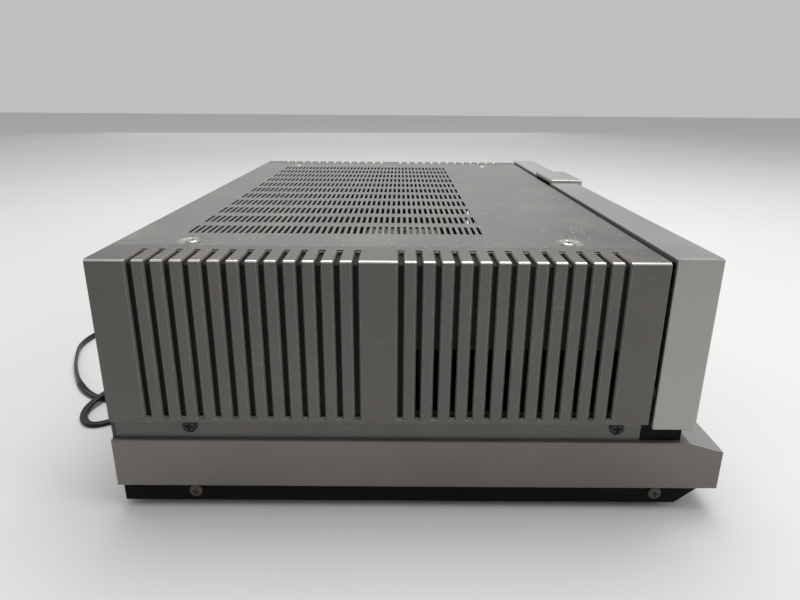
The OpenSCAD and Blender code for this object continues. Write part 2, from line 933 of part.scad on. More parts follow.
module heat_sink() {
    base_x = -sink_x - sink_base;
    fin_gap = (sink_l - fin_t) / (fin_count - 1);
    color("#1c1c1e")
        translate([0, 0, floor_z])
            linear_extrude(sink_h) {
                translate([base_x, ahead(sink_u + sink_l)]) square([sink_base, sink_l]);
                for (i = [0:fin_count - 1])
                    translate([base_x - fin_l, ahead(sink_u + sink_l) + i * fin_gap])
                        square([fin_l + 0.1, fin_t]);
            }
}

module heat_sink_left() { heat_sink(); }
module heat_sink_right() { mirror([1, 0, 0]) heat_sink(); }

module output_transistors() {
    color("#18181a")
        both_sides()
            for (i = [0:3]) {
                mid = sink_u + sink_l * (i + 0.5) / 4;
                block([-sink_x + 0.05, -sink_x + 5], [mid - 8, mid + 8], [66, 86]);
                for (leg = [-5, 0, 5])
                    block([-sink_x + 2, -sink_x + 2.8], [mid + leg - 0.5, mid + leg + 0.5],
                          [56, 66.1]);
            }
}

module driver_board() {
    out = -sink_x + 12;
    span = [sink_u + 12, sink_u + sink_l - 12];
    color("#3c5a33") {
        block([out, out + board_t], span, [floor_z + 6, floor_z + 72]);
        for (u = [span[0] + 10, span[1] - 10])
            block([out - 6, out + 0.1], [u - 5, u + 5], [floor_z, floor_z + 12]);
        for (i = [0:5])
            translate([out + board_t - 0.1, ahead(span[0] + 18 + i * 24), floor_z + 50])
                rotate([0, 90, 0]) cylinder(r = 5, h = 13);
        for (i = [0:11])
            block([out + board_t - 0.1, out + board_t + 3],
                  [span[0] + 10 + i * 12, span[0] + 17 + i * 12], [floor_z + 24, floor_z + 27]);
    }
}

module driver_board_left() { driver_board(); }
module driver_board_right() { mirror([1, 0, 0]) driver_board(); }

core_t = 44;
core_u = cover_d - 52;
leg_w = core_w * 0.16;
yoke_h = core_h * 0.16;
coil_out = 15;

module transformer_core() {
    color("#4a4d50")
        difference() {
            union() {
                block([-core_w / 2, core_w / 2], [core_u - core_t / 2, core_u + core_t / 2],
                      [floor_z, floor_z + core_h]);
                block([-core_w / 2 - 10, core_w / 2 + 10],
                      [core_u - core_t / 2 + 4, core_u + core_t / 2 - 4], [floor_z, floor_z + 2]);
            }
            for (s = [-1, 1])
                translate([s * core_w * 0.26, 0, 0])
                    block([-core_w * 0.1, core_w * 0.1],
                          [core_u - core_t, core_u + core_t],
                          [floor_z + yoke_h, floor_z + core_h - yoke_h]);
        }
}

module transformer_winding() {
    half = core_w * 0.36 - 0.5;
    color("#8a5a2b")
        difference() {
            block([-half, half], [core_u - core_t / 2 - coil_out, core_u + core_t / 2 + coil_out],
                  [floor_z + yoke_h + 0.5, floor_z + core_h - yoke_h - 0.5]);
            block([-leg_w - 0.4, leg_w + 0.4],
                  [core_u - core_t / 2 - 0.4, core_u + core_t / 2 + 0.4],
                  [floor_z, floor_z + core_h]);
        }
}

module filter_capacitors() {
    can_u = core_u - core_t / 2 - coil_out - 4 - can_r;
    color("#26323a")
        for (s = [-1, 1])
            translate([s * (can_r + 4), ahead(can_u), floor_z]) {
                cylinder(r = can_r, h = can_h);
                for (x = [-9, 9]) translate([x, 0, can_h - 0.1]) cylinder(r = 4, h = 5);
            }
}

module supply_board() {
    z = floor_z + 8;
    color("#6a4f2a") {
        block([-84, 84], [26, 96], [z, z + board_t]);
        for (s = [-1, 1], u = [32, 90])
            translate([s * 78, ahead(u), floor_z]) cylinder(r = 3, h = 8.1);
        block([-70, -42], [40, 68], [z + board_t - 0.1, z + 12]);
        for (i = [0:3])
            translate([-24 + i * 16, ahead(84), z + 1]) cylinder(r = 6, h = 22);
        for (i = [0:2])
            rod(-20 + i * 14, z + 7, 3, [38, 60]);
        for (i = [0:2], u = [40, 56])
            block([-23 + i * 14, -17 + i * 14], [u - 1, u + 2], [z + 1, z + 7]);
    }
}

module protection_relay() {
    z = floor_z + 8 + board_t + 0.05;
    color("#3a6ea0", 0.8)
        for (u = [34, 66]) block([44, 68], [u, u + 26], [z, z + 22]);
}

// ---------- Lead ----------

// A point on the smooth curve through the route's points, between points i and i + 1
function at(p, i) = p[max(0, min(len(p) - 1, i))];
function on_curve(p, i, t) =
    let (a = at(p, i - 1), b = at(p, i), c = at(p, i + 1), d = at(p, i + 2))
    0.5 * (2 * b + (c - a) * t + (2 * a - 5 * b + 4 * c - d) * t * t
           + (3 * b - a - 3 * c + d) * t * t * t);
function placed(p) = [for (q = p) [q[0], rear_y + q[1], q[2]]];
function curve(p) = concat(
    [for (i = [0:len(p) - 2], k = [0:cord_rings - 1]) on_curve(p, i, k / cord_rings)],
    [p[len(p) - 1]]
);
function heading(p, i) = at(p, i + 1) - at(p, i - 1);
function unit(v) = v / norm(v);

// The flat lead along a route: one ring of eight corners at each point
module flat_lead(route) {
    line = curve(placed(route));
    n = len(line);
    corners = [
        for (i = [0:n - 1], k = [0:7])
            let (
                along = unit(heading(line, i)),
                wide = unit(cross(along, [0, 0, 1])),
                thin = cross(wide, along)
            )
            line[i] + wide * cos(k * 45) * cord_w / 2 + thin * sin(k * 45) * cord_t / 2
    ];
    sides = [
        for (i = [0:n - 2], k = [0:7])
            [i * 8 + k, i * 8 + (k + 1) % 8, (i + 1) * 8 + (k + 1) % 8, (i + 1) * 8 + k]
    ];
    polyhedron(corners, concat(
        sides,
        [[for (k = [7:-1:0]) k], [for (k = [0:7]) (n - 1) * 8 + k]]
    ));
}

module power_cord() {
    color("#171717") {
        flat_lead(cord_route);
        flat_lead(tail_route);
    }
}

module strain_relief() {
    end = -cord_route[0][1];
    color("#101010") {
        rod(gland_x, gland_z, gland_r, [-rear_face - 1, 4]);
        rod(gland_x, gland_z, gland_r + 2, [-rear_face - 2.5, -rear_face - 0.05]);
        translate([gland_x, ahead(-rear_face - 2.4), gland_z])
            rotate([-90, 0, 0])
                cylinder(r1 = gland_r, r2 = 3.6, h = -end - rear_face - 2.4);
    }
}

module cord_coil() {
    across_w = coil_turns_across * cord_w;
    color("#171717")
        translate([coil_x, rear_y + coil_behind, coil_z])
            rotate_extrude($fn = 72)
                translate([coil_r - across_w / 2, 0]) square([across_w, coil_layers * cord_t]);
}

module cord_tie() {
    half = coil_turns_across * cord_w / 2;
    high = coil_z + coil_layers * cord_t;
    color("#d8d8d2")
        translate([coil_x - coil_r, rear_y + coil_behind, 0])
            difference() {
                translate([-half - 1.2, -3, 0.05]) cube([2 * half + 2.4, 6, high + 0.9]);
                translate([-half - 0.4, -4, coil_z - 0.1])
                    cube([2 * half + 0.8, 8, coil_layers * cord_t + 0.2]);
            }
}

module plug() {
    entry = tail_route[len(tail_route) - 1];
    mid_y = rear_y + entry[1];
    color("#1a1a1a") {
        translate([entry[0] + 0.05, mid_y - 9, 0.3])
            hull() {
                translate([0, 4, 2.6]) cube([26, 10, 7.4]);
                translate([5, 0, 1]) cube([20, 18, 10.6]);
                translate([6, 1, 0]) cube([18, 16, 12.6]);
            }
        for (s = [-1, 1])
            translate([entry[0] + 26, mid_y + s * 6.35 - 0.75, entry[2] - 3.1])
                cube([17, 1.5, 6.2]);
    }
}

feet();
foot_screws();
bottom_pan();
pan_screws();
base_tray();
side_panel_left();
side_panel_right();
side_screws();
inner_plate_left();
inner_plate_right();
top_cover();
top_screws();
front_subpanel();
front_panel_left();
front_panel_right();
front_block();
meter_window();
meter_bezel();
meter_scales();
meter_movements();
meter_lamps();
needle_left();
needle_right();
power_button();
power_switch();
power_lamp();
speaker_button();
range_button();
button_switches();
level_knob_left();
level_knob_right();
level_shaft_left();
level_shaft_right();
level_controls();
rear_panel();
rear_screws();
input_plate();
input_sockets();
input_inserts();
terminal_plate();
terminal_studs();
terminal_cap_1();
terminal_cap_2();
terminal_cap_3();
terminal_cap_4();
heat_sink_left();
heat_sink_right();
output_transistors();
driver_board_left();
driver_board_right();
transformer_core();
transformer_winding();
filter_capacitors();
supply_board();
protection_relay();
strain_relief();
power_cord();
cord_coil();
cord_tie();
plug();
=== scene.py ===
# %% [markdown]
# # A power amplifier, dressed in Blender
#
# The amplifier is a wide grey case on a base tray, with ribbed side panels, a slotted
# top cover, a stepped silver front and a flat mains lead. Its solid parts are made in
# CAD and arrive here with their joints. This lesson gives each of them its finish, and
# models what CAD is clumsy at: the lead, the plug, the printed dials and the marks.
#
# Every length is in metres. +X is right seen from the front, -Y is the front, +Z is up.

# %% Load the CAD frame
import math

import bmesh
import bpy
import numpy as np
from mathutils import Euler, Matrix, Vector


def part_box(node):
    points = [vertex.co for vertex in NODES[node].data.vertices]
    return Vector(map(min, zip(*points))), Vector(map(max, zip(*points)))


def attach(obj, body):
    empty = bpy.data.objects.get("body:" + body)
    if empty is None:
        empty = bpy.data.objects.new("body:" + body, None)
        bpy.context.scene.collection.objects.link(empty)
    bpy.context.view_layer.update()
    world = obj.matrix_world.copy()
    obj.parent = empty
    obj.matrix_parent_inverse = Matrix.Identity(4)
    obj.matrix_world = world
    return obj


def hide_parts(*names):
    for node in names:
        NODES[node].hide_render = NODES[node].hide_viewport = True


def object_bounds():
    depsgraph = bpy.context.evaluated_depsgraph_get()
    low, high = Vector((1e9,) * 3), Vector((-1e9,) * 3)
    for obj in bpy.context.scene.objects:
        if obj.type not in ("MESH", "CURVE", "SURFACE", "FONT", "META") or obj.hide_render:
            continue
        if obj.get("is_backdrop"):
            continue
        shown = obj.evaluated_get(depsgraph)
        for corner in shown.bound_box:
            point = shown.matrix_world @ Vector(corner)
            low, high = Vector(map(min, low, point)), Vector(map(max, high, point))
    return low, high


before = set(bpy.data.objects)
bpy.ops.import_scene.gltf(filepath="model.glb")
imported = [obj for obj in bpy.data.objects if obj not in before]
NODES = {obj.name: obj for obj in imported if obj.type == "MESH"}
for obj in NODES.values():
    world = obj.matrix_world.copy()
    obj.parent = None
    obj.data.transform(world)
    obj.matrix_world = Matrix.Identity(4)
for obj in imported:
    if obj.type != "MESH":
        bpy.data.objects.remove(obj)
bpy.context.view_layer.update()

MM = 0.001

# %% [markdown]
# ## Camera
#
# The view is from the left side, a little above the cover and close enough for strong
# perspective. Three angles and a place say it all, and a 36 mm wide sensor turns the
# lens length into an angle of view. The roll comes last, about the camera's own axis.

# %% Camera
CAMERA_AT = (-0.4911, 0.0014, 0.2110)
LOOK_DOWN = math.radians(18.66)
LOOK_ASIDE = math.radians(-0.14)
ROLL = math.radians(0.43)
LENS = 27.53

camera_data = bpy.data.cameras.new("camera")
camera_data.lens = LENS
camera_data.sensor_width = 36.0
camera_data.clip_start = 0.01
camera = bpy.data.objects.new("camera", camera_data)
aim = Euler((math.pi / 2 - LOOK_DOWN, 0.0, -math.pi / 2 + LOOK_ASIDE)).to_matrix()
aim = aim @ Matrix.Rotation(ROLL, 3, "Z")
camera.matrix_world = Matrix.Translation(CAMERA_AT) @ aim.to_4x4()
bpy.context.scene.collection.objects.link(camera)
bpy.context.scene.camera = camera
print("camera at", CAMERA_AT, "lens", LENS)

# %% [markdown]
# ## Small helpers for meshes
#
# Each piece below is a list of points and faces made in a loop, so two helpers are
# enough: one turns them into an object, the other closes a stack of rings into a tube.
# A ring is a closed line of points, and rings with the same count join up face by face.


# %% Mesh helpers
def make_piece(name, points, faces, body="root", slot=None, smooth=True):
    """An object from points and faces, that rides on a body."""
    mesh = bpy.data.meshes.new(name)
    mesh.from_pydata([tuple(p) for p in points], [], faces)
    mesh.update()
    tidy = bmesh.new()
    tidy.from_mesh(mesh)
    bmesh.ops.recalc_face_normals(tidy, faces=tidy.faces)
    tidy.to_mesh(mesh)
    tidy.free()
    mesh.shade_smooth() if smooth else mesh.shade_flat()
    piece = bpy.data.objects.new(name, mesh)
    bpy.context.scene.collection.objects.link(piece)
    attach(piece, body)
    return piece


def join_rings(rings, closed_ends=True, first=0):
    """The faces of a tube through rings of equal count, numbered from first."""
    count = len(rings[0])
    faces = []
    for i in range(len(rings) - 1):
        for k in range(count):
            a, b = first + i * count + k, first + i * count + (k + 1) % count
            faces.append((a, b, b + count, a + count))
    if closed_ends:
        last = first + (len(rings) - 1) * count
        faces.append(tuple(range(first + count - 1, first - 1, -1)))
        faces.append(tuple(range(last, last + count)))
    return faces


def loft(name, rings, **how):
    """A closed skin over a stack of rings."""
    return make_piece(name, [p for ring in rings for p in ring], join_rings(rings), **how)


# %% [markdown]
# ## The mains lead
#
# The lead is a flat twin flex, 5 mm wide and 2.5 mm thick: two insulated cores side by
# side with a groove between them. It leaves the rear panel through a strain relief, drops
# to the floor in two loose loops, runs round behind the case and ends in a flat coil with
# the plug beside it. A curve with a round bevel can't be flat, so the lead is a mesh: one
# figure-of-eight ring at each point of a smooth line.
#
# The coil has three turns beside each other and nearly three on top of them. A turn keeps
# its radius, then steps to the next one: the lower turns inward after the place where the
# lead climbs, the upper turns outward before it. Neighbours still cut a little into each
# other where the lower turns step, and where the lead comes in beside the first turn.

# %% The lead's line
REAR = 0.1475           # the cover's rear edge
LEAD_THICK = 0.0025
ROUTE = [  # sideways, behind the cover, height
    [10, 30, 56.5], [10, 38, 56], [10, 47, 52], [7, 57, 42], [-1, 62, 27],
    [-12, 58, 14], [-25, 49, 5], [-38, 38, 2], [-52, 28, 1.6], [-70, 21, 1.6],
    [-88, 20, 1.6], [-105, 25, 1.6], [-119, 35, 1.6], [-128, 45, 1.6],
    [-133, 54, 1.6], [-131, 61, 1.6], [-123, 67, 2], [-113, 69, 3],
    [-102, 67, 4.3], [-90, 65, 4], [-78, 64, 2.8], [-68, 58, 1.8],
    [-64, 46, 1.6], [-69, 34, 1.6], [-81, 28, 1.6], [-93, 32, 1.6],
    [-99, 43, 1.6], [-99, 55, 1.6], [-96, 69, 1.6], [-87, 82, 1.8],
    [-75, 93, 2.4], [-60, 103, 2.6], [-42, 113, 2.6], [-24, 121, 2.6],
    [-8, 127, 2.6], [6, 129, 2.6], [20, 128, 2.5], [36, 124, 2.2],
    [56, 121, 1.8], [84, 124, 2.2],
]
TAIL = [
    [95, 129.5, 4.65], [115, 126, 3.6], [130, 115, 2.2], [138, 97, 1.6],
    [139, 82, 1.6], [139, 67, 2.2], [142, 56, 3.6], [150, 48, 5.4], [161, 45, 6.6],
]
COIL_AT = (95, 89)      # its middle: sideways, behind the cover
COIL_RADII = [34.7, 29.7, 24.7, 24.7, 29.7, 34.7, 40.5]
COIL_LOW = 2.15         # height of the lower turns' middle line
COIL_HIGH = 4.65
TURNS, LOWER_TURNS = 6, 3
STEP_LOW = (0.90, 1.00)     # shares of a lower turn between which it steps inward
STEP_HIGH = (0.60, 0.80)    # and of an upper turn, outward
CLIMB = (2.80, 2.90)        # turns between which the lead climbs to the upper layer


def smooth_step(low, high, value):
    t = min(max((value - low) / (high - low), 0.0), 1.0)
    return t * t * (3 - 2 * t)


def coil_point(turn):
    """The lead's middle after so many turns, clockwise from the far side."""
    whole = min(int(turn), TURNS - 1)
    step = smooth_step(*(STEP_LOW if whole < LOWER_TURNS else STEP_HIGH), turn - whole)
    radius = COIL_RADII[whole] * (1 - step) + COIL_RADII[whole + 1] * step
    height = COIL_LOW + (COIL_HIGH - COIL_LOW) * smooth_step(*CLIMB, turn)
    angle = math.pi / 2 - math.tau * turn
    return [COIL_AT[0] + radius * math.cos(angle), COIL_AT[1] + radius * math.sin(angle), height]


def smooth_line(points, steps):
    """A smooth line through the points, with so many steps between neighbours."""
    p = np.array(points, float)
    near = lambda i: p[max(0, min(len(p) - 1, i))]
    line = []
    for i in range(len(p) - 1):
        a, b, c, d = near(i - 1), near(i), near(i + 1), near(i + 2)
        for t in np.arange(steps) / steps:
            bend = (2 * a - 5 * b + 4 * c - d) * t ** 2 + (3 * b - a - 3 * c + d) * t ** 3
            line.append(0.5 * (2 * b + (c - a) * t + bend))
    return np.array(line + [p[-1]])


TURN_POINTS = 40
LINE_STEPS = 6
coil = [coil_point((i + 1) / TURN_POINTS) for i in range(TURNS * TURN_POINTS - 1)]
lead_line = [smooth_line(ROUTE, LINE_STEPS), np.array(coil), smooth_line(TAIL, LINE_STEPS)]
lead_line = np.vstack(lead_line) * MM
lead_line[:, 1] += REAR
LEAD_LENGTH = float(np.linalg.norm(np.diff(lead_line, axis=0), axis=1).sum())
print(f"lead: {len(lead_line)} points, {LEAD_LENGTH:.3f} m")


# %% The lead's skin
CORE_ARC = 0.72         # share of each half of a core that shows outside the groove


def twin_ring(core_points=10):
    """Half of the flat twin section after half: (across, up) round both cores."""
    r = LEAD_THICK / 2
    core = np.linspace(-CORE_ARC, CORE_ARC, core_points) * math.pi
    right = [(r + r * math.cos(a), r * math.sin(a)) for a in core]
    return right + [(-x, -z) for x, z in right]


ON_EDGE = math.radians(75)
TURN_UP = (28.8, 30.8)      # route points between which the lead turns on its edge
TURN_DOWN = (36.0, 38.0)    # and lies down again


def lead_twist(index):
    """How far the section is turned at a point of the line."""
    place = index / LINE_STEPS
    return ON_EDGE * smooth_step(*TURN_UP, place) * (1 - smooth_step(*TURN_DOWN, place))


def lead_rings(line):
    """The twin section at each point: flat, but on edge along the rear stretch."""
    section = twin_ring()
    rings = []
    for index, (point, heading) in enumerate(zip(line, np.gradient(line, axis=0))):
        heading = heading / np.linalg.norm(heading)
        level = np.cross(heading, (0, 0, 1))
        level /= np.linalg.norm(level)
        upward = np.cross(level, heading)
        c, s = math.cos(lead_twist(index)), math.sin(lead_twist(index))
        wide, thin = level * c + upward * s, upward * c - level * s
        rings.append([point + wide * x + thin * z for x, z in section])
    return rings


lead = loft("mains_lead", lead_rings(lead_line), slot="lead")
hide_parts("power_cord", "cord_coil")
print("lead skin:", len(lead.data.polygons), "faces")

# %% [markdown]
# ## Strain relief, tie and plug
#
# The strain relief is a soft tapered sleeve with slits all the way along, so that the
# lead bends in a gentle curve. It starts round at the panel and ends oval round the flex.
# The plug is a moulded two-pin block with finger ribs, and its blades have the usual
# holes near their tips. Both are lofts: a few rings of different size say the shape.


# %% Strain relief
def oval(centre, across, up, half_wide, half_high, count=32, power=2.0):
    """A ring round centre; a higher power makes it squarer."""
    ring = []
    for k in range(count):
        c, s = math.cos(math.tau * k / count), math.sin(math.tau * k / count)
        x = math.copysign(abs(c) ** (2 / power), c) * half_wide
        z = math.copysign(abs(s) ** (2 / power), s) * half_high
        ring.append(Vector(centre) + Vector(across) * x + Vector(up) * z)
    return ring


RELIEF_X, RELIEF_Z = ROUTE[0][0] * MM, ROUTE[0][2] * MM
RELIEF_END = REAR + ROUTE[0][1] * MM
PANEL_BACK = REAR + 0.0015
SLITS = 6


def relief_profile():
    """(y, radius) along the sleeve: inside, collar, then ribs that get smaller."""
    yield from [(REAR - 0.004, 0.0056), (PANEL_BACK + 0.0001, 0.0058)]
    yield from [(PANEL_BACK + 0.0002, 0.0078), (PANEL_BACK + 0.0021, 0.0080)]
    yield from [(PANEL_BACK + 0.0026, 0.0074), (PANEL_BACK + 0.0027, 0.0060)]
    start = PANEL_BACK + 0.0032
    pitch = (RELIEF_END - start) / SLITS
    for i in range(SLITS):
        y, r = start + i * pitch, 0.0060 - 0.0023 * i / (SLITS - 1)
        yield from [(y, r - 0.0002), (y + 0.1 * pitch, r), (y + 0.62 * pitch, r - 0.0003)]
        yield from [(y + 0.68 * pitch, r - 0.0013), (y + 0.94 * pitch, r - 0.0014)]
    yield (RELIEF_END - 0.0001, 0.0034)


relief_rings = []
for y, r in relief_profile():
    flatten = 1 - 0.32 * smooth_step(PANEL_BACK + 0.004, RELIEF_END, y)
    relief_rings.append(oval((RELIEF_X, y, RELIEF_Z), (1, 0, 0), (0, 0, 1), r, r * flatten))
relief = loft("strain_sleeve", relief_rings, slot="black_plastic", smooth=False)
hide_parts("strain_relief")
print("strain relief:", round((RELIEF_END - PANEL_BACK) / MM, 1), "mm long")

# %% Plug
PLUG_X = TAIL[-1][0] * MM
PLUG_Y = REAR + TAIL[-1][1] * MM
PLUG_Z = TAIL[-1][2] * MM + 0.0001
PLUG_SHAPE = [  # from the lead's end: distance, half width, half height, squareness
    (0.2, 2.6, 1.9, 2.2), (0.6, 3.4, 2.5, 2.2), (3.6, 4.0, 3.0, 2.3), (6.0, 5.6, 4.2, 2.6),
    (8.2, 8.0, 5.6, 3.2), (9.6, 8.8, 6.1, 3.6), (10.8, 8.9, 6.2, 3.8), (11.0, 8.2, 6.2, 3.8),
    (12.0, 8.2, 6.2, 3.8), (12.2, 8.9, 6.2, 3.8), (13.6, 8.9, 6.2, 3.8), (13.8, 8.2, 6.2, 3.8),
    (14.8, 8.2, 6.2, 3.8), (15.0, 8.9, 6.2, 3.8), (16.4, 8.9, 6.2, 3.8), (16.6, 8.2, 6.2, 3.8),
    (17.6, 8.2, 6.2, 3.8), (17.8, 8.9, 6.2, 3.8), (23.6, 8.9, 6.2, 4.4), (25.2, 8.5, 5.9, 4.4),
    (25.9, 7.9, 5.3, 4.2),
]
plug_rings = [
    oval((PLUG_X + d * MM, PLUG_Y, PLUG_Z), (0, 1, 0), (0, 0, 1), w * MM, h * MM, 48, power)
    for d, w, h, power in PLUG_SHAPE
]
plug = loft("plug_body", plug_rings, slot="plug_plastic", smooth=False)
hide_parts("plug")


# %% Blades
BLADE_LONG, BLADE_HIGH, BLADE_THICK = 0.0170, 0.0062, 0.0015
BLADE_HOLE, HOLE_FROM_TIP = 0.0015, 0.0037
BLADE_APART = 0.0127
BLADE_TIP_ROUND = 0.0014


def blade_outline(angle):
    """Where a ray from the hole's middle leaves the blade, as (along, up)."""
    c, s = math.cos(angle), math.sin(angle)
    back, tip, half = HOLE_FROM_TIP - BLADE_LONG, HOLE_FROM_TIP, BLADE_HIGH / 2
    along = (tip if c > 0 else back) / c if abs(c) > 1e-6 else 9.0
    upward = half / abs(s) if abs(s) > 1e-6 else 9.0
    reach = min(along, upward)
    x, z = c * reach, s * reach
    corner = tip - BLADE_TIP_ROUND
    if x > corner:
        z = min(max(z, -half + (x - corner) * 0.6), half - (x - corner) * 0.6)
    return x, z


def blade_points(y):
    """The rings of one blade: outline and hole, on its two faces."""
    middle = PLUG_X + 0.026 + BLADE_LONG - HOLE_FROM_TIP
    angles = [math.tau * k / 48 for k in range(48)]
    rings = []
    for side, hole in [(-1, 1), (-1, 0), (1, 0), (1, 1)]:
        ring = []
        for a in angles:
            x, z = (math.cos(a) * BLADE_HOLE, math.sin(a) * BLADE_HOLE) if hole else blade_outline(a)
            ring.append((middle + x, y + side * BLADE_THICK / 2, PLUG_Z + z))
        rings.append(ring)
    return rings + [rings[0]]


blade_verts, blade_faces = [], []
for side in (-1, 1):
    rings = blade_points(PLUG_Y + side * BLADE_APART / 2)
    blade_faces += join_rings(rings, closed_ends=False, first=len(blade_verts))
    blade_verts += [p for ring in rings for p in ring]
blades = make_piece("plug_blades", blade_verts, blade_faces, slot="zinc", smooth=False)
weld = bmesh.new()
weld.from_mesh(blades.data)
bmesh.ops.remove_doubles(weld, verts=weld.verts, dist=1e-6)
weld.to_mesh(blades.data)
weld.free()
print("plug and blades:", len(plug.data.polygons) + len(blades.data.polygons), "faces")

# %% Coil tie
TIE_X = (COIL_AT[0] - COIL_RADII[1]) * MM
TIE_Y = REAR + COIL_AT[1] * MM
TIE_HALF = 0.0083
TIE_LOW, TIE_TOP = 0.0006, 0.0064
TIE_WIDE, TIE_THICK = 0.0042, 0.0005
TIE_ROUND = 0.45        # 1 would make the loop an ellipse, 0 a rectangle
BAND_STEPS, TAIL_STEPS, TAIL_SIDES = 48, 28, 8
TAIL_TURNS = 1.1        # how far the strip's two ends are twisted together


def band_ring(x, z, nx, nz, lean=0.0):
    """The strip's section at one point of its loop, standing off along (nx, nz)."""
    ring = []
    for side, out in [(-1, 0), (-0.35, 0.5), (0.35, 0.5), (1, 0), (0.35, -0.5), (-0.35, -0.5)]:
        y = TIE_Y + side * TIE_WIDE / 2 + lean
        ring.append((x + nx * out * TIE_THICK * 2, y, z + nz * out * TIE_THICK * 2))
    return ring


tie_rings = []
tie_mid = (TIE_LOW + TIE_TOP) / 2
for k in range(BAND_STEPS + 1):
    a = math.tau * k / BAND_STEPS + math.pi / 2
    c, s = math.cos(a), math.sin(a)
    x = math.copysign(abs(c) ** TIE_ROUND, c) * TIE_HALF
    z = math.copysign(abs(s) ** TIE_ROUND, s) * (TIE_TOP - TIE_LOW) / 2
    tie_rings.append(band_ring(TIE_X + x, tie_mid + z, c, s))
twist = []
for side in (-1, 1):
    for k in range(TAIL_STEPS):
        t = k / (TAIL_STEPS - 1)
        a = side * math.pi / 2 + TAIL_TURNS * math.tau * t
        c, s = math.cos(a), math.sin(a)
        reach_x = TIE_X + (0.001 + 0.011 * t)
        wave = 0.0009 * (1 - 0.5 * t)
        middle = (reach_x, TIE_Y + 0.004 * t + wave * c, TIE_TOP + 0.0013 + wave * s)
        twist.append(oval(middle, (0, c, s), (0, -s, c), 0.0011, 0.0004, TAIL_SIDES))
tie_points = [p for ring in tie_rings + twist for p in ring]
tie_faces = join_rings(tie_rings, closed_ends=True)
for half in (0, 1):
    tail = twist[half * TAIL_STEPS:(half + 1) * TAIL_STEPS]
    start = len(tie_rings) * len(tie_rings[0]) + half * TAIL_STEPS * TAIL_SIDES
    tie_faces += join_rings(tail, first=start)
tie = make_piece("coil_tie", tie_points, tie_faces, slot="tie")
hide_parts("cord_tie")

# %% [markdown]
# ## Shader helpers
#
# A material is a small network of nodes. Writing it as code is easier with three
# helpers: one adds a node and feeds its inputs, one does arithmetic, one blends colours.
# An input takes either a number or another node's output.


# %% Shader helpers
def feed(tree, socket, value):
    """Gives a socket a number, a colour or another node's output."""
    if isinstance(value, bpy.types.NodeSocket):
        tree.links.new(value, socket)
    elif value is not None:
        socket.default_value = value


def add(tree, kind, inputs=(), **settings):
    """A new node with its settings and its inputs, by name or number."""
    node = tree.nodes.new("ShaderNode" + kind)
    for name, value in settings.items():
        setattr(node, name, value)
    for name, value in dict(inputs).items():
        feed(tree, node.inputs[name], value)
    return node


def calc(tree, operation, a, b=None, c=None, clamp=False):
    return add(tree, "Math", {0: a, 1: b, 2: c}, operation=operation, use_clamp=clamp).outputs[0]


def spread(tree, value, low, high):
    """0 below low, 1 above high, and smooth between."""
    node = add(tree, "MapRange", {"Value": value, "From Min": low, "From Max": high},
               interpolation_type="SMOOTHSTEP")
    return node.outputs["Result"]


def blend(tree, share, a, b, mode="MIX"):
    """Colour a, turning into colour b as share goes from 0 to 1."""
    node = tree.nodes.new("ShaderNodeMix")
    node.data_type = "RGBA"
    node.blend_type = mode
    feed(tree, node.inputs[0], share)
    feed(tree, node.inputs[6], a)
    feed(tree, node.inputs[7], b)
    return node.outputs[2]


def noise(tree, where, scale, detail=2.0, rough=0.5, distortion=0.0):
    return add(tree, "TexNoise", {"Vector": where, "Scale": scale, "Detail": detail,
                                  "Roughness": rough, "Distortion": distortion}).outputs[0]


def even(value):
    """A colour with equal parts."""
    return (value, value, value)


def grey(value):
    return (*even(value), 1.0)


# %% [markdown]
# ## Effects that many finishes share
#
# Old hi-fi wears in the same few ways whatever the paint: corners rub bright, dust
# settles on what faces up, hands leave smears, cleaning leaves fine scratches. Each
# effect is a node group, built once and dropped into a material with its own amounts. A
# group gives out a mask or a normal, and the material decides what to do with it.


# %% Start a node group
def start_group(name, inputs, outputs):
    """A group with sockets given as (name, kind, value) and (name, kind)."""
    tree = bpy.data.node_groups.new(name, "ShaderNodeTree")
    for label, kind, value in inputs:
        socket = tree.interface.new_socket(name=label, in_out="INPUT", socket_type=kind)
        if value is not None:
            socket.default_value = value
    for label, kind in outputs:
        tree.interface.new_socket(name=label, in_out="OUTPUT", socket_type=kind)
    return tree, tree.nodes.new("NodeGroupInput"), tree.nodes.new("NodeGroupOutput")


FLOAT, VECTOR = "NodeSocketFloat", "NodeSocketVector"


# %% Edge wear
def build_edge_wear():
    """Mask: bright where an outer edge is near. Normal: the surface with eased edges."""
    tree, given, made = start_group(
        "Edge wear",
        [("Vector", VECTOR, None), ("Radius", FLOAT, 0.0006), ("Break up", FLOAT, 300.0)],
        [("Mask", FLOAT), ("Normal", VECTOR)],
    )
    eased = add(tree, "Bevel", {"Radius": given.outputs["Radius"]}, samples=4)
    flat = add(tree, "NewGeometry")
    turned = add(tree, "VectorMath", {0: eased.outputs[0], 1: flat.outputs["Normal"]},
                 operation="DOT_PRODUCT").outputs["Value"]
    near_edge = spread(tree, calc(tree, "SUBTRACT", 1.0, turned), 0.01, 0.16)
    patchy = noise(tree, given.outputs["Vector"], given.outputs["Break up"], 3.0, 0.6)
    rubbed = calc(tree, "MULTIPLY", near_edge, spread(tree, patchy, 0.25, 0.62))
    feed(tree, made.inputs["Mask"], rubbed)
    feed(tree, made.inputs["Normal"], eased.outputs[0])
    return tree


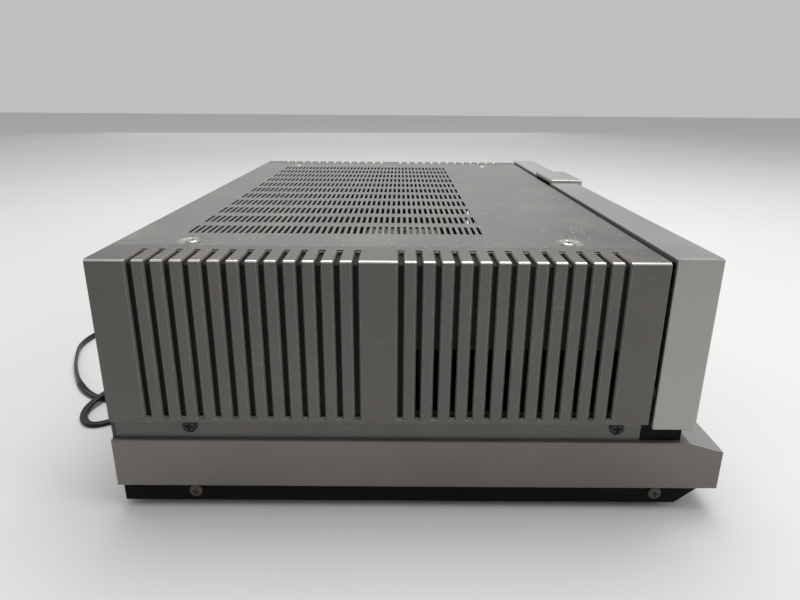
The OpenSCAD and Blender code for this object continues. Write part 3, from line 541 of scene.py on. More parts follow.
# %% Dust
def build_dust():
    """Mask: a thin film with specks on what faces up."""
    tree, given, made = start_group(
        "Settled dust",
        [("Vector", VECTOR, None), ("Film", FLOAT, 0.3), ("Specks", FLOAT, 0.5)],
        [("Mask", FLOAT)],
    )
    up = add(tree, "SeparateXYZ", {0: add(tree, "NewGeometry").outputs["Normal"]}).outputs["Z"]
    facing = spread(tree, up, 0.25, 0.95)
    where = given.outputs["Vector"]
    film = calc(tree, "MULTIPLY", spread(tree, noise(tree, where, 22.0, 5.0, 0.6), 0.35, 0.8),
                given.outputs["Film"])
    cells = add(tree, "TexVoronoi", {"Vector": where, "Scale": 420.0, "Randomness": 1.0})
    size = add(tree, "SeparateColor", {0: cells.outputs["Color"]}).outputs[0]
    radius = calc(tree, "MULTIPLY", spread(tree, size, 0.64, 1.0), 0.30)
    speck = spread(tree, calc(tree, "SUBTRACT", radius, cells.outputs["Distance"]), 0.0, 0.06)
    speck = calc(tree, "MULTIPLY", speck, given.outputs["Specks"])
    both = calc(tree, "MAXIMUM", film, speck)
    feed(tree, made.inputs["Mask"], calc(tree, "MULTIPLY", both, facing, clamp=True))
    return tree


# %% Fine scratches
def build_scratches():
    """Mask: a few hair-thin lines that run two ways."""
    tree, given, made = start_group(
        "Fine scratches",
        [("Vector", VECTOR, None), ("Amount", FLOAT, 0.5)],
        [("Mask", FLOAT)],
    )
    masks = []
    for turn, scale in [((0.3, 0.5, 0.35), (26.0, 900.0, 900.0)),
                        ((0.9, -0.6, -0.8), (900.0, 30.0, 700.0))]:
        lines = add(tree, "Mapping", {"Vector": given.outputs["Vector"], "Rotation": turn,
                                      "Scale": scale}).outputs[0]
        thin = noise(tree, lines, 1.0, 1.0, 0.4, 0.3)
        rare = noise(tree, given.outputs["Vector"], 38.0 + 9 * len(masks), 2.0)
        masks.append(calc(tree, "MULTIPLY", spread(tree, thin, 0.70, 0.76),
                          spread(tree, rare, 0.55, 0.72)))
    both = calc(tree, "MAXIMUM", masks[0], masks[1])
    feed(tree, made.inputs["Mask"], calc(tree, "MULTIPLY", both, given.outputs["Amount"]))
    return tree


# %% Metallic flake, brushed grain, smears
def build_flake():
    """Value: the sparkle of fine metal flakes under paint, about 0.5."""
    tree, given, made = start_group(
        "Metal flake", [("Vector", VECTOR, None), ("Scale", FLOAT, 2600.0)], [("Value", FLOAT)]
    )
    fine = noise(tree, given.outputs["Vector"], given.outputs["Scale"], 2.0, 0.7)
    feed(tree, made.inputs["Value"], spread(tree, fine, 0.30, 0.70))
    return tree


def build_grain():
    """Value: fine parallel lines, long along the axis with the smallest scale."""
    tree, given, made = start_group(
        "Brushed grain",
        [("Vector", VECTOR, None), ("Stretch", VECTOR, (30.0, 2500.0, 2500.0))],
        [("Value", FLOAT)],
    )
    where = add(tree, "VectorMath", {0: given.outputs["Vector"], 1: given.outputs["Stretch"]},
                operation="MULTIPLY").outputs[0]
    feed(tree, made.inputs["Value"], noise(tree, where, 1.0, 3.0, 0.65))
    return tree


def build_smears():
    """Value: cloudy patches of polish and grime, 0 to 1."""
    tree, given, made = start_group(
        "Smears", [("Vector", VECTOR, None), ("Scale", FLOAT, 14.0)], [("Value", FLOAT)]
    )
    cloud = noise(tree, given.outputs["Vector"], given.outputs["Scale"], 4.0, 0.55, 0.8)
    feed(tree, made.inputs["Value"], spread(tree, cloud, 0.3, 0.72))
    return tree


GROUPS = {
    "edge wear": build_edge_wear(), "dust": build_dust(), "scratches": build_scratches(),
    "flake": build_flake(), "grain": build_grain(), "smears": build_smears(),
}
print("shader groups:", ", ".join(GROUPS))


# %% [markdown]
# ## A recipe for coated and bare surfaces
#
# Most parts of the amplifier are sheet metal under a satin metallic paint, or bare
# metal, or moulded plastic. They differ in colour and in how much of each effect they
# show, so one recipe with named amounts covers them, and a finish that needs something
# of its own goes on from there.


# %% The recipe
def use(tree, group, **inputs):
    """One of the groups, placed in a material."""
    node = tree.nodes.new("ShaderNodeGroup")
    node.node_tree = GROUPS[group]
    for name, value in inputs.items():
        feed(tree, node.inputs[name.replace("_", " ")], value)
    return node


class Finish:
    """A material on its way: its tree, its shader and the values that shape them."""

    def __init__(self, name, colour, rough, metal=0.0):
        self.material = bpy.data.materials.new(name)
        self.material.use_nodes = True
        self.tree = self.material.node_tree
        self.shader = self.tree.nodes["Principled BSDF"]
        self.where = add(self.tree, "TexCoord").outputs["Object"]
        self.colour = (*colour, 1.0)
        self.rough = rough
        self.metal = metal
        self.height = None
        self.normal = None

    def shade(self, value, dark, light):
        """Multiplies the colour by a grey that goes from dark to light with the value."""
        tone = blend(self.tree, value, grey(dark), grey(light))
        self.colour = blend(self.tree, 1.0, self.colour, tone, "MULTIPLY")

    def altitude(self):
        """How high a point of the piece is."""
        return add(self.tree, "SeparateXYZ", {0: self.where}).outputs["Z"]

    def vary(self, dark, light, scale=14.0, rough_by=0.0):
        """Cloudy change of shade and gloss."""
        cloud = use(self.tree, "smears", Vector=self.where, Scale=scale).outputs[0]
        self.shade(cloud, dark, light)
        self.rough = calc(self.tree, "MULTIPLY_ADD", cloud, rough_by, self.rough)
        return self

    def flake(self, amount, scale=2600.0, bump=0.15):
        """Sparkle of metal flakes."""
        value = use(self.tree, "flake", Vector=self.where, Scale=scale).outputs[0]
        self.shade(value, 1 - amount, 1 + amount)
        self.raise_by(value, bump)
        return self

    def grain(self, stretch, amount, bump=0.2):
        """Brushed lines."""
        value = use(self.tree, "grain", Vector=self.where, Stretch=stretch).outputs[0]
        self.shade(spread(self.tree, value, 0.3, 0.7), 1 - amount, 1 + amount)
        self.raise_by(value, bump)
        return self

    def raise_by(self, value, amount):
        part = calc(self.tree, "MULTIPLY", value, amount)
        self.height = part if self.height is None else calc(self.tree, "ADD", self.height, part)

    def cover(self, mask, colour, rough=None, metal=None):
        """Another colour, gloss and metalness where the mask is 1."""
        self.colour = blend(self.tree, mask, self.colour, (*colour, 1.0))
        if rough is not None:
            self.rough = self._between(mask, self.rough, rough)
        if metal is not None:
            self.metal = self._between(mask, self.metal, metal)
        return self

    def edges(self, colour, radius=0.0006, share=1.0, rough=0.3, metal=1.0, break_up=300.0):
        """Rubbed edges, and a highlight along them."""
        wear = use(self.tree, "edge wear", Vector=self.where, Radius=radius, Break_up=break_up)
        self.normal = wear.outputs["Normal"]
        mask = calc(self.tree, "MULTIPLY", wear.outputs["Mask"], share)
        return self.cover(mask, colour, rough, metal)

    def scratches(self, colour, amount, rough=0.35):
        mask = use(self.tree, "scratches", Vector=self.where, Amount=amount).outputs[0]
        return self.cover(mask, colour, rough)

    def dust(self, film, specks, colour=(0.42, 0.40, 0.36)):
        mask = use(self.tree, "dust", Vector=self.where, Film=film, Specks=specks).outputs[0]
        return self.cover(mask, colour, 0.85, 0.0)

    def _between(self, mask, a, b):
        node = self.tree.nodes.new("ShaderNodeMix")
        node.data_type = "FLOAT"
        feed(self.tree, node.inputs[0], mask)
        feed(self.tree, node.inputs[2], a)
        feed(self.tree, node.inputs[3], b)
        return node.outputs[0]

    def done(self, depth=0.00005, strength=0.5, **plain):
        """Wires everything to the shader; plain values go straight on its sockets."""
        feed(self.tree, self.shader.inputs["Base Color"], self.colour)
        feed(self.tree, self.shader.inputs["Roughness"], self.rough)
        feed(self.tree, self.shader.inputs["Metallic"], self.metal)
        normal = self.normal
        if self.height is not None:
            bump = add(self.tree, "Bump", {"Strength": strength, "Distance": depth,
                                           "Height": self.height, "Normal": normal})
            normal = bump.outputs[0]
        if normal is not None:
            feed(self.tree, self.shader.inputs["Normal"], normal)
        for name, value in plain.items():
            self.shader.inputs[name.replace("_", " ")].default_value = value
        return self.material


def dress(material, *names):
    """Puts a material on CAD nodes or on new pieces."""
    for name in names:
        piece = NODES.get(name) or bpy.data.objects[name]
        piece.data.materials.clear()
        piece.data.materials.append(material)
    print(f"{material.name}: {', '.join(names)}")


# %% [markdown]
# ## The grey case paints
#
# The side panels, base tray and top cover carry a satin metallic paint, warm grey on the
# panels and the tray and neutral on the cover. The flakes make it a little metallic, so it
# takes on the tone of the floor. The cover is smoother than the panels, and the tray is
# lighter. Edges are rubbed brighter, and a fine film of dust lies on what faces up.
# The panels' rounded top edges, groove walls and notch walls and the tray's sloped faces get painted highlights.

# %% Side panels
def facing(tree, low, high, *axes):
    """Mask: where the product of the surface's facings along the axes is large."""
    parts = add(tree, "SeparateXYZ", {0: add(tree, "NewGeometry").outputs["Normal"]}).outputs
    product = calc(tree, "ABSOLUTE", parts[axes[0]])
    for axis in axes[1:]:
        product = calc(tree, "MULTIPLY", product, calc(tree, "ABSOLUTE", parts[axis]))
    return spread(tree, product, low, high)


panel = Finish("panel_paint", (0.128, 0.120, 0.114), 0.40, 0.62)
panel.vary(0.90, 1.08, 9.0, 0.08).flake(0.07, 2400.0, 0.25)
# Painted highlight: faces that look to the front or the rear, mostly the groove walls, are painted lighter.
panel.cover(facing(panel.tree, 0.86, 0.97, "Y"), (0.165, 0.155, 0.147), 0.45)
# Painted highlight: the rounded top edge, which faces out and up, is painted near white and glossy.
panel.cover(facing(panel.tree, 0.34, 0.49, "X", "Z"), (0.66, 0.64, 0.63), 0.25, 0.9)
RIM_FROM = 0.1365       # the height above which the groove walls get a painted highlight in light tan
panel_height = panel.altitude()
# Painted highlight: the notch walls in the top flange are painted light tan and more metallic.
rim = calc(panel.tree, "MULTIPLY", facing(panel.tree, 0.55, 0.80, "Y"),
           spread(panel.tree, panel_height, RIM_FROM, RIM_FROM + 0.003))
panel.cover(rim, (0.50, 0.42, 0.34), 0.35, 0.7)
panel.edges((0.52, 0.50, 0.47), 0.0006, 0.75, 0.32, 0.85)
panel.scratches((0.40, 0.39, 0.37), 0.35).dust(0.10, 0.55)
dress(panel.done(0.00004, 0.35), "side_panel_left", "side_panel_right")

# %% Base tray
tray = Finish("tray_paint", (0.176, 0.163, 0.156), 0.36, 0.60)
tray.vary(0.92, 1.07, 8.0, 0.07).flake(0.06, 2400.0, 0.25)
tray.edges((0.60, 0.56, 0.53), 0.0007, 0.80, 0.28, 0.85)
# Painted highlight: sloped faces such as the front chamfer are painted lighter and glossier.
tray.cover(facing(tray.tree, 0.16, 0.24, "Y", "Z"), (0.42, 0.42, 0.41), 0.26, 0.8)
tray.scratches((0.36, 0.35, 0.34), 0.12).dust(0.06, 0.40)
dress(tray.done(0.00004, 0.35), "base_tray")

# %% [markdown]
# The cover's four screws sit in shallow dishes where the paint has been turned away by
# years of screwdrivers: bare, scratched metal with grime in it. The dishes are in the
# cover's own mesh, so a mask finds them: the distance from the nearest dish's middle.

# %% Top cover with bare dishes
DISH_X, DISH_Y_MIDDLE, DISH_Y_HALF = 0.1775, 0.0110, 0.0985
DISH_RADIUS = 0.0083


def distance_from_dish(tree, where):
    """How far a point is from the nearest dish's middle, seen from above."""
    axes = add(tree, "SeparateXYZ", {0: where})
    x = calc(tree, "SUBTRACT", calc(tree, "ABSOLUTE", axes.outputs[0]), DISH_X)
    y = calc(tree, "ABSOLUTE", calc(tree, "SUBTRACT", axes.outputs[1], DISH_Y_MIDDLE))
    y = calc(tree, "SUBTRACT", y, DISH_Y_HALF)
    squares = calc(tree, "ADD", calc(tree, "MULTIPLY", x, x), calc(tree, "MULTIPLY", y, y))
    return calc(tree, "SQRT", squares)


cover = Finish("cover_paint", (0.125, 0.128, 0.121), 0.34, 0.45)
cover.vary(0.90, 1.10, 7.0, 0.10).flake(0.08, 2800.0, 0.20)
cover.edges((0.42, 0.42, 0.40), 0.0004, 0.55, 0.35, 0.8)
cover.scratches((0.34, 0.34, 0.32), 0.55).dust(0.22, 1.0)
from_dish = distance_from_dish(cover.tree, cover.where)
bare = calc(cover.tree, "SUBTRACT", 1.0, spread(cover.tree, from_dish, DISH_RADIUS - 0.0009,
                                                DISH_RADIUS - 0.0002), clamp=True)
chips = noise(cover.tree, cover.where, 900.0, 4.0, 0.75)
cover.cover(bare, (0.27, 0.26, 0.24), 0.45, 0.75)
grime = calc(cover.tree, "MULTIPLY", bare, spread(cover.tree, chips, 0.50, 0.62))
cover.cover(grime, (0.09, 0.085, 0.075), 0.7, 0.2)
flecks = noise(cover.tree, cover.where, 1500.0, 3.0)
bright = calc(cover.tree, "MULTIPLY", bare, spread(cover.tree, flecks, 0.56, 0.66))
cover.cover(bright, (0.58, 0.56, 0.52), 0.34, 1.0)
dress(cover.done(0.00004, 0.35), "top_cover")

# %% [markdown]
# Behind the grooves is the nearly black sheet that carries the panels, with a thin warm
# film of dust.

# %% Inner sheets, black paints
inner = Finish("inner_sheet", (0.010, 0.009, 0.0085), 0.60, 0.0)
inner.vary(0.65, 1.35, 16.0, 0.10).edges((0.30, 0.24, 0.18), 0.0006, 0.5, 0.4, 0.6)
inner.dust(0.10, 0.3, (0.20, 0.155, 0.11))
dress(inner.done(Specular_IOR_Level=0.15), "inner_plate_left", "inner_plate_right")

black = Finish("black_paint", even(0.0035), 0.40, 0.0)
black.vary(0.7, 1.5, 10.0, 0.12).flake(0.12, 1800.0, 0.5)
black.edges((0.09, 0.09, 0.088), 0.0005, 0.6, 0.4, 0.3)
black.scratches(even(0.05), 0.3).dust(0.10, 0.4, (0.14, 0.13, 0.12))
dress(black.done(0.00008, 0.4, Specular_IOR_Level=0.08), "bottom_pan", "front_subpanel", "meter_bezel")

rear = Finish("rear_paint", (0.045, 0.046, 0.046), 0.48, 0.15)
rear.vary(0.8, 1.25, 12.0, 0.10).flake(0.10, 1500.0, 0.6)
rear.edges((0.25, 0.25, 0.24), 0.0005, 0.6, 0.4, 0.6).scratches(even(0.16), 0.4)
dress(rear.done(0.00008, 0.4), "rear_panel")

# %% [markdown]
# ## The silver front
#
# The front panels and the raised block are satin aluminium, brushed from side to side.
# At arm's length the lines vanish and leave a soft, even sheen that is brighter than
# the paint, so the colour changes little and the gloss changes more.

# %% Silver front
silver = Finish("front_silver", (0.355, 0.358, 0.345), 0.34, 0.85)
silver.vary(0.95, 1.04, 9.0, 0.06).grain((45.0, 2600.0, 2600.0), 0.06, 0.35)
silver.edges((0.74, 0.74, 0.72), 0.0005, 0.6, 0.25, 1.0)
silver.scratches((0.70, 0.70, 0.68), 0.25).dust(0.10, 0.35)
dress(silver.done(0.00003, 0.4), "front_panel_left", "front_panel_right", "front_block")

button = Finish("button_metal", (0.38, 0.38, 0.37), 0.30, 0.9)
button.vary(0.93, 1.05, 60.0, 0.05).grain((90.0, 3800.0, 3800.0), 0.07, 0.3)
button.edges((0.85, 0.85, 0.82), 0.0004, 0.7, 0.22, 1.0)
dress(button.done(0.00003, 0.4), "power_button", "speaker_button", "range_button")


# %% Turned knobs
def turned(finish, centre_x, centre_z, amount=0.10):
    """Fine circles round an axis that points to the front, as a lathe leaves them."""
    tree = finish.tree
    moved = add(tree, "VectorMath", {0: finish.where, 1: (centre_x, 0.0, centre_z)},
                operation="SUBTRACT").outputs[0]
    flat = add(tree, "VectorMath", {0: moved, 1: (1.0, 0.0, 1.0)}, operation="MULTIPLY").outputs[0]
    radius = add(tree, "VectorMath", {0: flat}, operation="LENGTH").outputs["Value"]
    rings = noise(tree, add(tree, "CombineXYZ", {0: radius}).outputs[0], 2600.0, 3.0, 0.6)
    finish.shade(spread(tree, rings, 0.3, 0.7), 1 - amount, 1 + amount)
    finish.raise_by(rings, 0.5)
    return finish


for side in ("left", "right"):
    low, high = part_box(f"level_knob_{side}")
    middle = (low + high) / 2
    knob = Finish(f"knob_metal_{side}", (0.40, 0.40, 0.385), 0.28, 0.92)
    turned(knob, middle.x, middle.z)
    knob.edges((0.88, 0.88, 0.85), 0.0003, 0.7, 0.2, 1.0).dust(0.10, 0.2)
    dress(knob.done(0.00003, 0.5), f"level_knob_{side}")

# %% [markdown]
# ## Screws
#
# Four kinds of screw hold the case: black ones along the sides and rear, dull ones worn
# to rusty steel on the pan, bright plated ones in the cover's dishes, and zinc plated
# ones under the feet. The recess of a used screw is bright at its rim and dirty inside.


# %% Screws
def screw_finish(name, colour, rough, metal, rub, dirt, dirt_share):
    finish = Finish(name, colour, rough, metal)
    finish.vary(0.7, 1.25, 240.0, 0.1)
    patches = spread(finish.tree, noise(finish.tree, finish.where, 620.0, 4.0, 0.7), 0.48, 0.62)
    finish.cover(calc(finish.tree, "MULTIPLY", patches, dirt_share), dirt, 0.75, 0.1)
    finish.edges(rub, 0.0003, 0.8, 0.3, 0.95, 1200.0)
    return finish.done(0.00003, 0.4)


dress(screw_finish("black_screw", (0.004, 0.004, 0.0045), 0.42, 0.0, (0.05, 0.048, 0.046),
                   (0.03, 0.028, 0.025), 0.3), "side_screws", "rear_screws")
dress(screw_finish("worn_screw", (0.085, 0.078, 0.068), 0.45, 0.7, (0.28, 0.25, 0.21),
                   (0.11, 0.062, 0.035), 0.8), "pan_screws")
dress(screw_finish("bright_screw", (0.44, 0.43, 0.40), 0.30, 0.95, (0.70, 0.68, 0.64),
                   (0.14, 0.125, 0.10), 0.75), "top_screws")
dress(screw_finish("zinc", (0.58, 0.58, 0.57), 0.32, 0.95, (0.85, 0.85, 0.84),
                   (0.25, 0.24, 0.22), 0.35), "foot_screws", "plug_blades")

# %% [markdown]
# ## Rubber, plastics and the lead
#
# Moulded rubber and plastic are dark, slightly uneven in gloss, and dull where they are
# handled. The lead's skin has a faint sheen along each core. The recipe serves them all,
# with a finer bump than paint and no metalness.


# %% Moulded finishes
def moulded(name, colour, rough, lift=0.10, scale=60.0, rub=None, dust=0.15):
    finish = Finish(name, colour, rough)
    finish.vary(0.8, 1.25, scale, 0.12).flake(lift, 1500.0, 0.6)
    if rub:
        finish.edges(rub, 0.0004, 0.6, 0.5, 0.0)
    finish.dust(dust, 0.4, (0.25, 0.24, 0.21))
    return finish


dress(moulded("rubber", even(0.018), 0.72, 0.15, 40.0, even(0.06)).done(0.0001), "feet")
lead_skin = moulded("lead_skin", even(0.004), 0.26, 0.06, 30.0, None, 0.02)
dress(lead_skin.done(0.00005, 0.3, Specular_IOR_Level=0.3), "mains_lead")
MOULDED = [  # name, colour, roughness, flake, cloud size, rubbed colour, dust, bump, pieces
    ("sleeve_plastic", even(0.014), 0.50, 0.12, 90.0, even(0.06), 0.15, 0.0001,
     ["strain_sleeve"]),
    ("plug_plastic", (0.016, 0.016, 0.017), 0.40, 0.10, 80.0, even(0.07), 0.15, 0.0001,
     ["plug_body"]),
    ("tie_strip", (0.62, 0.62, 0.58), 0.45, 0.06, 90.0, (0.8, 0.8, 0.77), 0.3, 0.0001,
     ["coil_tie"]),
    ("black_plastic", even(0.016), 0.42, 0.10, 70.0, even(0.07), 0.15, 0.0001,
     ["input_plate", "terminal_plate"]),
    ("switch_plastic", (0.045, 0.046, 0.050), 0.50, 0.10, 80.0, even(0.12), 0.15, 0.0001,
     ["power_switch", "button_switches"]),
    ("epoxy", (0.022, 0.022, 0.023), 0.45, 0.15, 90.0, even(0.08), 0.15, 0.0001,
     ["output_transistors"]),
    ("red_cap", (0.36, 0.020, 0.014), 0.33, 0.08, 120.0, (0.60, 0.16, 0.12), 0.15, 0.00005,
     ["terminal_cap_1", "terminal_cap_2"]),
    ("black_cap", even(0.016), 0.33, 0.08, 120.0, even(0.09), 0.15, 0.00005,
     ["terminal_cap_3", "terminal_cap_4"]),
]
for *look, bump_depth, names in MOULDED:
    dress(moulded(*look).done(bump_depth), *names)

# %% White and red inserts
inserts = moulded("insert_plastic", (0.72, 0.71, 0.67), 0.35, 0.04, 150.0, None, 0.2)
insert_middle = (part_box("input_inserts")[0].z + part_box("input_inserts")[1].z) / 2
lower = calc(inserts.tree, "LESS_THAN", inserts.altitude(), insert_middle)
inserts.cover(lower, (0.40, 0.022, 0.015))
dress(inserts.done(0.00005), "input_inserts")

# %% [markdown]
# ## Small metal parts
#
# Plated sockets, nickel studs, ground shafts and the meter movements are bare metal.
# Their differences are in colour and in how far handling has dulled them.


# %% Bare metals
def bare_metal(name, colour, rough, scale=80.0, tarnish=(0.2, 0.17, 0.12), share=0.3):
    finish = Finish(name, colour, rough, 0.95)
    finish.vary(0.82, 1.08, scale, 0.15)
    spots = spread(finish.tree, noise(finish.tree, finish.where, scale * 5, 4.0, 0.7), 0.52, 0.68)
    finish.cover(calc(finish.tree, "MULTIPLY", spots, share), tarnish, 0.6, 0.6)
    finish.edges(tuple(min(1.0, c * 1.35) for c in colour), 0.0003, 0.6, 0.2, 1.0, 900.0)
    return finish.done(0.00003, 0.4)


dress(bare_metal("socket_metal", (0.62, 0.54, 0.38), 0.28), "input_sockets")
dress(bare_metal("stud_metal", (0.70, 0.69, 0.66), 0.24), "terminal_studs")
dress(bare_metal("shaft_steel", even(0.58), 0.30), "level_shaft_left", "level_shaft_right")
dress(bare_metal("control_case", even(0.42), 0.40, 60.0), "level_controls")
dress(bare_metal("movement_metal", (0.36, 0.36, 0.38), 0.42, 60.0), "meter_movements")

# %% [markdown]
# ## Meters
#
# Two wide meters sit behind one smoked window. Their dials are pale card with a printed
# arc, eleven long ticks with short ones between them and a red zone at the loud end, and a
# black pointer that rests at the left. The print is modelled as thin raised ink, because a shape holds at any distance.
# The window is thin clear acrylic: mostly see-through, with a gloss that stays.

# %% Dials, window, lamps, pointers
dial = Finish("dial_card", (0.74, 0.68, 0.52), 0.62)
dial.vary(0.92, 1.05, 30.0, 0.05).flake(0.03, 3000.0, 0.4)
dress(dial.done(0.00003, 0.3), "meter_scales")

pointer = Finish("pointer_paint", (0.016, 0.015, 0.014), 0.48)
pointer.vary(0.8, 1.3, 90.0, 0.1).edges(even(0.08), 0.0002, 0.5, 0.4, 0.0)
dress(pointer.done(), "needle_left", "needle_right")

window = Finish("window_acrylic", (0.020, 0.024, 0.025), 0.04)
window.vary(0.8, 1.2, 10.0, 0.04).scratches(even(0.3), 0.3, 0.3)
window.dust(0.06, 0.3)
dress(window.done(Alpha=0.30), "meter_window")

bulb = Finish("lamp_glass", (0.85, 0.78, 0.60), 0.12)
bulb.vary(0.85, 1.1, 120.0, 0.1)
dress(bulb.done(Alpha=0.75), "meter_lamps")

lens = Finish("red_lens", (0.42, 0.018, 0.012), 0.14)
lens.vary(0.8, 1.2, 160.0, 0.08).edges((0.75, 0.12, 0.09), 0.0003, 0.6, 0.15, 0.0, 800.0)
dress(lens.done(Coat_Weight=0.6), "power_lamp")


# %% Flat print in a front view
INK_THICK = 0.00008


def add_bar(points, faces, corners, y, thick=INK_THICK):
    """A flat shape given by its corners as (x, z), raised towards the front, or towards
    the rear where thick is negative."""
    first = len(points)
    count = len(corners)
    points += [(x, y, z) for x, z in corners] + [(x, y - thick, z) for x, z in corners]
    faces.append(tuple(range(first, first + count)))
    faces.append(tuple(range(first + 2 * count - 1, first + count - 1, -1)))
    for k in range(count):
        n = (k + 1) % count
        faces.append((first + k, first + n, first + count + n, first + count + k))


def turned_to(centre, angle, across, out):
    """The point that is out along a ray at this angle from upright, and across it."""
    s, c = math.sin(angle), math.cos(angle)
    return (centre[0] + out * s + across * c, centre[1] + out * c - across * s)


def add_tick(points, faces, centre, angle, inner, outer, wide, y):
    corners = [turned_to(centre, angle, side * wide / 2, out)
               for side, out in [(-1, inner), (1, inner), (1, outer), (-1, outer)]]
    add_bar(points, faces, corners, y)


def add_arc(points, faces, centre, angles, inner, outer, y, steps=36, thick=INK_THICK):
    """A band round a centre, between two angles from upright."""
    start, stop = angles
    for k in range(steps):
        a = start + (stop - start) * k / steps
        b = start + (stop - start) * (k + 1) / steps
        corners = [turned_to(centre, a, 0, inner), turned_to(centre, b, 0, inner),
                   turned_to(centre, b, 0, outer), turned_to(centre, a, 0, outer)]
        add_bar(points, faces, corners, y, thick)


def add_number(points, faces, text, middle, high, y):
    """A number in Blender's built-in letters, standing upright and facing the front."""
    curve = bpy.data.curves.new("number", "FONT")
    curve.body = text
    curve.size = high
    curve.align_x, curve.align_y = "CENTER", "CENTER"
    curve.resolution_u = 3
    holder = bpy.data.objects.new("number", curve)
    bpy.context.scene.collection.objects.link(holder)
    bpy.context.view_layer.update()
    final = holder.evaluated_get(bpy.context.evaluated_depsgraph_get())
    flat = bpy.data.meshes.new_from_object(final)
    first = len(points)
    points += [(middle[0] + v.co.x, y - INK_THICK, middle[1] + v.co.y) for v in flat.vertices]
    faces += [tuple(first + i for i in polygon.vertices) for polygon in flat.polygons]
    bpy.data.objects.remove(holder)
    bpy.data.curves.remove(curve)
    bpy.data.meshes.remove(flat)


# %% Meter print
SWING = math.radians(42)
PIVOT_Z = 0.0685
METER_X = (-0.1501, -0.0321)
ARC_RADIUS = 0.0365
TICK_LONG, TICK_SHORT = 0.0040, 0.0024
NUMBER_RADIUS = 0.0442
LOUD_FROM = 0.72
dial_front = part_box("meter_scales")[0].y

dark_print, red_print = ([], []), ([], [])
for x in METER_X:
    centre = (x, PIVOT_Z)
    loud = SWING * (2 * LOUD_FROM - 1)
    add_arc(*dark_print, centre, (-SWING, loud), ARC_RADIUS, ARC_RADIUS + 0.0004, dial_front)
    add_arc(*red_print, centre, (loud, SWING), ARC_RADIUS, ARC_RADIUS + 0.0014, dial_front)
    for k in range(21):
        share = k / 20
        long = TICK_LONG if k % 2 == 0 else TICK_SHORT
        target = red_print if share > LOUD_FROM else dark_print
        add_tick(*target, centre, SWING * (2 * share - 1), ARC_RADIUS, ARC_RADIUS + long,
                 0.00045, dial_front)
    for k in range(6):
        place = turned_to(centre, SWING * (2 * k / 5 - 1), 0, NUMBER_RADIUS)
        add_number(*dark_print, str(2 * k), place, 0.0046, dial_front)
    add_arc(*dark_print, centre, (-SWING, SWING), 0.0270, 0.0272, dial_front)
make_piece("dial_ink", *dark_print, slot="needle", smooth=False)
make_piece("dial_red_zone", *red_print, slot="red_cap", smooth=False)

ink = Finish("printing_ink", even(0.020), 0.55)
ink.vary(0.8, 1.4, 200.0, 0.1)
INK = ink.done()
dress(INK, "dial_ink")
red_ink = Finish("red_ink", (0.42, 0.022, 0.016), 0.5)
red_ink.vary(0.85, 1.15, 200.0, 0.1)
dress(red_ink.done(), "dial_red_zone")

# %% [markdown]
# ## Printed marks
#
# Round each level knob run eleven ticks with numbers from 0 to 10. The rear panel has
# thin pale frames round its groups of sockets, a ring round each input socket and a mark
# above each pair of terminals. None of it is lettering that names anything.

# %% Knob scales
KNOB_TURN = math.radians(150)
front_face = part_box("front_panel_right")[0].y
SCALE_IN, SCALE_OUT, SCALE_LONG, SCALE_NUMBER = 0.0186, 0.0204, 0.0212, 0.0236
knob_print = ([], [])
for side in ("left", "right"):
    low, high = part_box(f"level_knob_{side}")
    centre = ((low.x + high.x) / 2, (low.z + high.z) / 2)
    for k in range(11):
        angle = KNOB_TURN * (2 * k / 10 - 1)
        outer = SCALE_LONG if k % 5 == 0 else SCALE_OUT
        add_tick(*knob_print, centre, angle, SCALE_IN, outer, 0.0005, front_face)
        place = turned_to(centre, angle, 0, SCALE_NUMBER)
        add_number(*knob_print, str(k), place, 0.0030, front_face)
make_piece("knob_scales", *knob_print, slot="needle", smooth=False)
dress(INK, "knob_scales")


# %% Rear print
FRAME_MARGIN, FRAME_WIDE = 0.0045, 0.0006
MARK_ASIDE, MARK_UP = 0.012, 0.0085
MARK_LONG, MARK_HALF = 0.0022, 0.0003


def rectangle(x0, z0, x1, z1):
    return [(x0, z0), (x1, z0), (x1, z1), (x0, z1)]


def add_frame(points, faces, x0, z0, x1, z1, y):
    """A thin rectangular frame facing the rear."""
    wide = FRAME_WIDE
    for bar in [(x0, z0, x1, z0 + wide), (x0, z1 - wide, x1, z1),
                (x0, z0 + wide, x0 + wide, z1 - wide), (x1 - wide, z0 + wide, x1, z1 - wide)]:
        add_bar(points, faces, rectangle(*bar), y, -INK_THICK)


rear_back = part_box("rear_panel")[1].y
rear_print = ([], [])
for plate in ("input_plate", "terminal_plate"):
    low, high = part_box(plate)
    add_frame(*rear_print, low.x - FRAME_MARGIN, low.z - FRAME_MARGIN,
              high.x + FRAME_MARGIN, high.z + FRAME_MARGIN, rear_back)
low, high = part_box("terminal_plate")
middle = (low.x + high.x) / 2
for side in (-1, 1):
    x, z = middle + side * MARK_ASIDE, high.z + MARK_UP
    for bar in [(x - MARK_LONG, z - MARK_HALF, x + MARK_LONG, z + MARK_HALF),
                (x - MARK_HALF, z + MARK_HALF, x + MARK_HALF, z + MARK_LONG)]:
        add_bar(*rear_print, rectangle(*bar), rear_back, -INK_THICK)
plate_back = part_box("input_plate")[1].y
low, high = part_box("input_sockets")
socket_r = (high.x - low.x) / 2
socket_x = (low.x + high.x) / 2
for z in (low.z + socket_r, high.z - socket_r):
    add_arc(*rear_print, (socket_x, z), (0, math.tau), socket_r + 0.0012, socket_r + 0.0018,
            plate_back, 40, -INK_THICK)
make_piece("rear_print", *rear_print, slot="dial", smooth=False)
pale_ink = Finish("pale_ink", (0.62, 0.61, 0.58), 0.5)
pale_ink.vary(0.8, 1.1, 120.0, 0.1)
dress(pale_ink.done(), "rear_print")

# %% [markdown]
# ## Inside the case
#
# Little of the inside shows through the slots and grooves, but the parts can be looked at
# with the cover off. Black fins, varnished laminations, a taped winding, sleeved
# capacitors, brown and green boards and blue relay cases each get a plain finish of
# their own.

